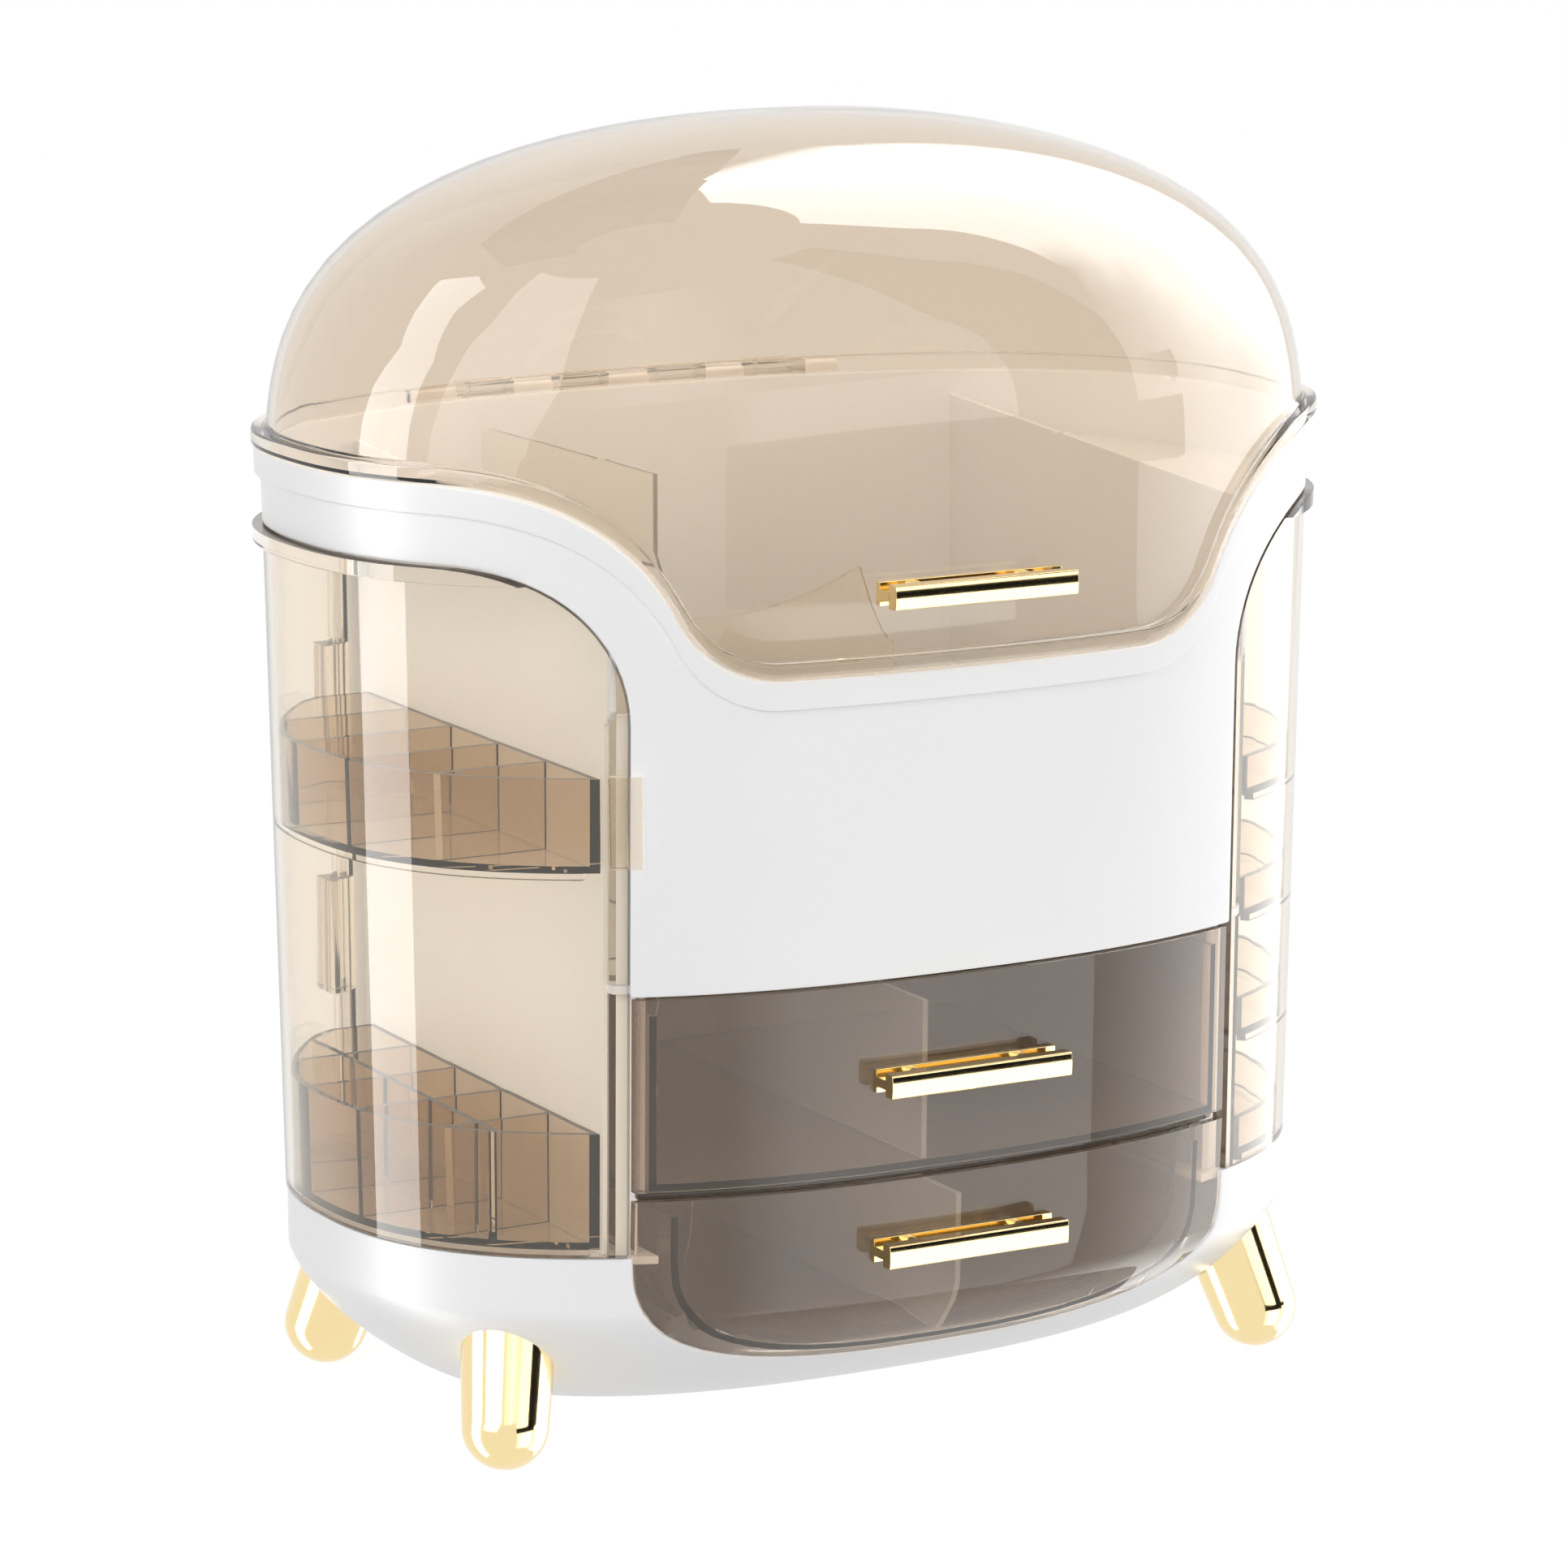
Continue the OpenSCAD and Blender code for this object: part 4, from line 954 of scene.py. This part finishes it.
def dome_point(turn, skin, z=None, crown=None):
    """Point on the outside of the dome, or inside it by skin, at a height or at a crown angle."""
    high = DOME_H - skin
    if crown is None:
        crown = math.degrees(math.asin(min(1, max(0, (z - DOME_Z) / high) ** (1 / CROWN_POWER))))
    else:
        z = DOME_Z + high * math.sin(math.radians(crown)) ** CROWN_POWER
    share = max(0, math.cos(math.radians(crown))) ** SIDE_POWER
    x, y = oval(turn, (DOME_A - skin) * share, (DOME_B - skin) * share)
    return Vector((x, y, z))


def rim_point(turn, out, up):
    """Point on the flange, at a distance out from the dome's side and up from the flange's underside."""
    x, y = oval(turn, DOME_A + out, DOME_B + out)
    return Vector((x, y, (dip(x, SEAT_GAP) if y < 0 else RIM_Z + SEAT_GAP) + up))


def dome_column(turn):
    """One section of the lid, from the inner pole down to the flange and up to the outer pole."""
    base = rim_point(turn, 0, 0).z
    low, high = base + 0.6, base + FLANGE_H + 0.7
    levels = [k / 8 for k in range(9)]
    inside = [dome_point(turn, LID_WALL, crown=crown) for crown in reversed(CROWNS)]
    inside += [dome_point(turn, LID_WALL, z=DOME_START_Z + (low - DOME_START_Z) * k) for k in levels]
    flange = [(0.35 - LID_WALL, 0), (FLANGE_OUT - 0.5, 0), (FLANGE_OUT - FLANGE_FOOT, FLANGE_FOOT),
              (FLANGE_OUT, 0.5), (FLANGE_OUT, FLANGE_H - 1), (FLANGE_OUT - 0.3, FLANGE_H - 0.3),
              (FLANGE_OUT - 1, FLANGE_H), (0.6, FLANGE_H), (FLANGE_FOOT, FLANGE_H + 0.2)]
    rim = [rim_point(turn, out, up) for out, up in flange]
    outside = [dome_point(turn, 0, z=high + (DOME_START_Z - high) * k) for k in levels]
    outside += [dome_point(turn, 0, crown=crown) for crown in CROWNS]
    return inside + rim + outside


dome = bmesh.new()
turns = [DOME_STEP * k for k in range(round(360 / DOME_STEP))]
columns = [[dome.verts.new(point) for point in dome_column(turn)] for turn in turns]
close_round(dome, columns)
dome.faces.new([column[0] for column in columns])
dome.faces.new([column[-1] for column in reversed(columns)])
bmesh.ops.recalc_face_normals(dome, faces=dome.faces)
knuckles = bmesh.new()
lid_arm = [(0, LID_ARM_RISE), (-ARM_REACH, LID_ARM_RISE)]
lid_knuckles(knuckles, 1, [(-ARM_REACH, ARM_GAP)] + arc_line(KNUCKLE_R, 180 - ARM_TURN, 450) + lid_arm)
bmesh.ops.recalc_face_normals(knuckles, faces=knuckles.faces)
finish(knuckles, "dome_lid_knuckles", "lid", PALE)
finish(dome, "dome_lid_shell", "lid", CHAMPAGNE, ["dome_lid"])

# Studio: a white floor and a white room that the camera sees as even white, four soft lamps, and cards
# that show only in reflections. The camera stands where the photo was taken. Lengths here are in metres.
ROOM_GLOW = 1.0         # brightness of the room as the camera sees it
ROOM_LIGHT = 0.63       # brightness with which it lights the object
FLOOR_GLOW = 0.85
FLOOR_HALF = 3
CARD_PARTS = 16
CARD_Z = 0.25
CAMERA_TURN = math.radians(29.02)
CAMERA_RISE = math.radians(11.46)
CAMERA_REACH = 1.85062
CAMERA_AIM = Vector((-0.00296, 0, 0.17734))
CAMERA_LENS = 141.37
LIGHT_BOUNCES = 24      # as light passes through many walls of clear plastic
WHITE_LIGHT = (1, 1, 1, 1)


def floor_paper():
    """White paper that glows as the background does and keeps a faint shadow of the object."""
    material, start = start_material("studio_floor")
    shine = start.node("Emission", {}, {"Color": WHITE_LIGHT, "Strength": FLOOR_GLOW})
    matte = start.node("BsdfDiffuse", {}, {"Color": (0.25, 0.25, 0.25, 1)})
    start.node("OutputMaterial", {}, {"Surface": start.node("AddShader", {}, {0: shine, 1: matte})})
    return material


def stage_piece(name, corners, faces, surface):
    """Piece of the studio. At first only the camera sees it."""
    mesh = bpy.data.meshes.new(name)
    mesh.from_pydata(corners, [], faces)
    mesh.materials.append(surface)
    piece = bpy.data.objects.new(name, mesh)
    bpy.context.scene.collection.objects.link(piece)
    piece.visible_diffuse = False
    piece.visible_glossy = False
    piece.visible_transmission = False
    piece.visible_shadow = False
    return piece


def mirror_card(name, rows, distance=3):
    """Card far away that only reflections show.

    Each row is an elevation, the turns where the card begins and ends, in degrees from the front towards
    the right, the shares of its width over which it fades in and out, and its brightness.
    """
    corners, glow = [], []
    for rise, start, end, fade_in, fade_out, brightness in rows:
        up = math.radians(rise)
        out = distance * math.cos(up)
        for k in range(CARD_PARTS + 1):
            across = k / CARD_PARTS
            turn = math.radians(start + (end - start) * across)
            corners.append((out * math.sin(turn), -out * math.cos(turn), distance * math.sin(up) + CARD_Z))
            level = min(1, across / fade_in if fade_in else 1, (1 - across) / fade_out if fade_out else 1)
            glow.append(ROOM_GLOW + (brightness - ROOM_GLOW) * level)
    wide = CARD_PARTS + 1
    faces = [(wide * r + k, wide * r + k + 1, wide * r + k + wide + 1, wide * r + k + wide)
             for r in range(len(rows) - 1) for k in range(CARD_PARTS)]
    material, begin = start_material(name)
    level = begin.node("Attribute", {"attribute_name": "glow"}, out="Color")
    begin.node("OutputMaterial", {}, {"Surface": begin.node("Emission", {}, {"Color": level})})
    card = stage_piece(name, corners, faces, material)
    paint = card.data.color_attributes.new("glow", "FLOAT_COLOR", "POINT")
    for spot, value in zip(paint.data, glow):
        spot.color = (value, value, value, 1)
    card.visible_camera = False
    card.visible_glossy = True


floor_corners = [(x * FLOOR_HALF, y * FLOOR_HALF, 0) for x, y in ((-1, -1), (1, -1), (1, 1), (-1, 1))]
stage_piece("studio_floor", floor_corners, [(0, 1, 2, 3)], floor_paper())
mirror_card("right_card", [(-50, 44, 113, 0.35, 0.05, 3.5), (0, 44, 115, 0.35, 0.05, 4),
                           (10, 46, 118, 0.4, 0.05, 6.5), (20, 48, 122, 0.35, 0.05, 8),
                           (30, 52, 133, 0.25, 0.05, 8), (40, 58, 144, 0.12, 0.05, 8),
                           (50, 64, 147, 0, 0.05, 8), (60, 74, 148, 0, 0, 8), (70, 82, 135, 0, 0, 8)])
mirror_card("left_card", [(-60, -120, -98, 0, 0, 8), (5, -119, -93, 0, 0, 7), (30, -114, -92, 0, 0, 6),
                          (50, -138, -105, 0, 0, 6), (60, -125, -108, 0, 0, 6)])
mirror_card("front_left_card", [(-4, -84, -50, 0, 0, 2.5), (20, -80, -38, 0, 0, 3.5),
                                (50, -78, -38, 0, 0, 3.5), (72, -95, -42, 0, 0, 3.5)])
mirror_card("front_card", [(14, -36, 8, 0.5, 0.5, 2), (60, -36, 8, 0.5, 0.5, 2)])
mirror_card("dark_tall_card", [(-10, 33, 50, 0, 0, 0), (65, 33, 50, 0, 0, 0)], 2.8)
mirror_card("dark_low_card", [(-9.5, 0, 60, 0, 0, 0), (2.5, 0, 60, 0, 0, 0)], 2.9)
mirror_card("bright_top_card", [(2.5, 0, 60, 0.1, 0.1, 2), (14, 0, 60, 0.1, 0.1, 2)])
mirror_card("bright_low_card", [(-45, 0, 60, 0.2, 0.2, 2.4), (-9.5, 0, 60, 0.2, 0.2, 2.4)])
mirror_card("ceiling_card", [(40, 149, 152, 0, 0, 0.3), (48, 148, 166, 0, 0, 0.3),
                             (55, 147, 200, 0, 0, 0.3), (66, 145, 236, 0, 0, 0.3),
                             (80, 130, 250, 0, 0, 0.3)])

world = bpy.data.worlds.new("studio_world")
world.use_nodes = True
world.node_tree.nodes.clear()
room = Wire(world.node_tree)
diffuse_ray = room.node("LightPath", out="Is Diffuse Ray")
shadow_ray = room.node("LightPath", out="Is Shadow Ray")
lit = room.node("Background", {}, {"Color": WHITE_LIGHT, "Strength": ROOM_LIGHT})
seen = room.node("Background", {}, {"Color": WHITE_LIGHT, "Strength": ROOM_GLOW})
share = room.maths("MAXIMUM", diffuse_ray, shadow_ray)
room.node("OutputWorld", {}, {"Surface": room.node("MixShader", {}, {0: share, 1: seen, 2: lit})})
bpy.context.scene.world = world


def soft_lamp(name, place, aim, size_x, size_y, brightness):
    """Area lamp with a plain brightness, whatever its size. It lights, and the cards are reflected."""
    light = bpy.data.lights.new(name, "AREA")
    light.shape = "RECTANGLE"
    light.size = size_x
    light.size_y = size_y
    light.energy = brightness * math.pi * size_x * size_y
    lamp = bpy.data.objects.new(name, light)
    lamp.location = place
    lamp.rotation_euler = (Vector(aim) - Vector(place)).to_track_quat("-Z", "Y").to_euler()
    lamp.visible_camera = False
    lamp.visible_glossy = False
    lamp.visible_transmission = False
    bpy.context.scene.collection.objects.link(lamp)


soft_lamp("left_softbox", (-1.6, -0.9, 0.9), (0, 0, 0.25), 0.6, 0.8, 5.1)
soft_lamp("top_softbox", (0.1, 0.1, 1.7), (0, 0, 0.2), 0.8, 0.6, 1.8)
soft_lamp("right_softbox", (1.5, -0.5, 0.8), (0, 0, 0.25), 0.6, 0.8, 3)
soft_lamp("front_softbox", (-0.5, -2.2, 0.9), (0, 0, 0.2), 0.9, 0.7, 3.1)

away = Vector((-math.sin(CAMERA_TURN) * math.cos(CAMERA_RISE),
               -math.cos(CAMERA_TURN) * math.cos(CAMERA_RISE), math.sin(CAMERA_RISE)))
lens = bpy.data.cameras.new("photo_camera")
lens.lens = CAMERA_LENS
lens.sensor_width = 36
lens.clip_end = 20
camera = bpy.data.objects.new("photo_camera", lens)
camera.location = CAMERA_AIM + away * CAMERA_REACH
camera.rotation_euler = (-away).to_track_quat("-Z", "Y").to_euler()
scene = bpy.context.scene
scene.collection.objects.link(camera)
scene.camera = camera
scene.cycles.transparent_max_bounces = LIGHT_BOUNCES
scene.cycles.transmission_bounces = LIGHT_BOUNCES
scene.cycles.max_bounces = LIGHT_BOUNCES
scene.view_settings.view_transform = "Standard"
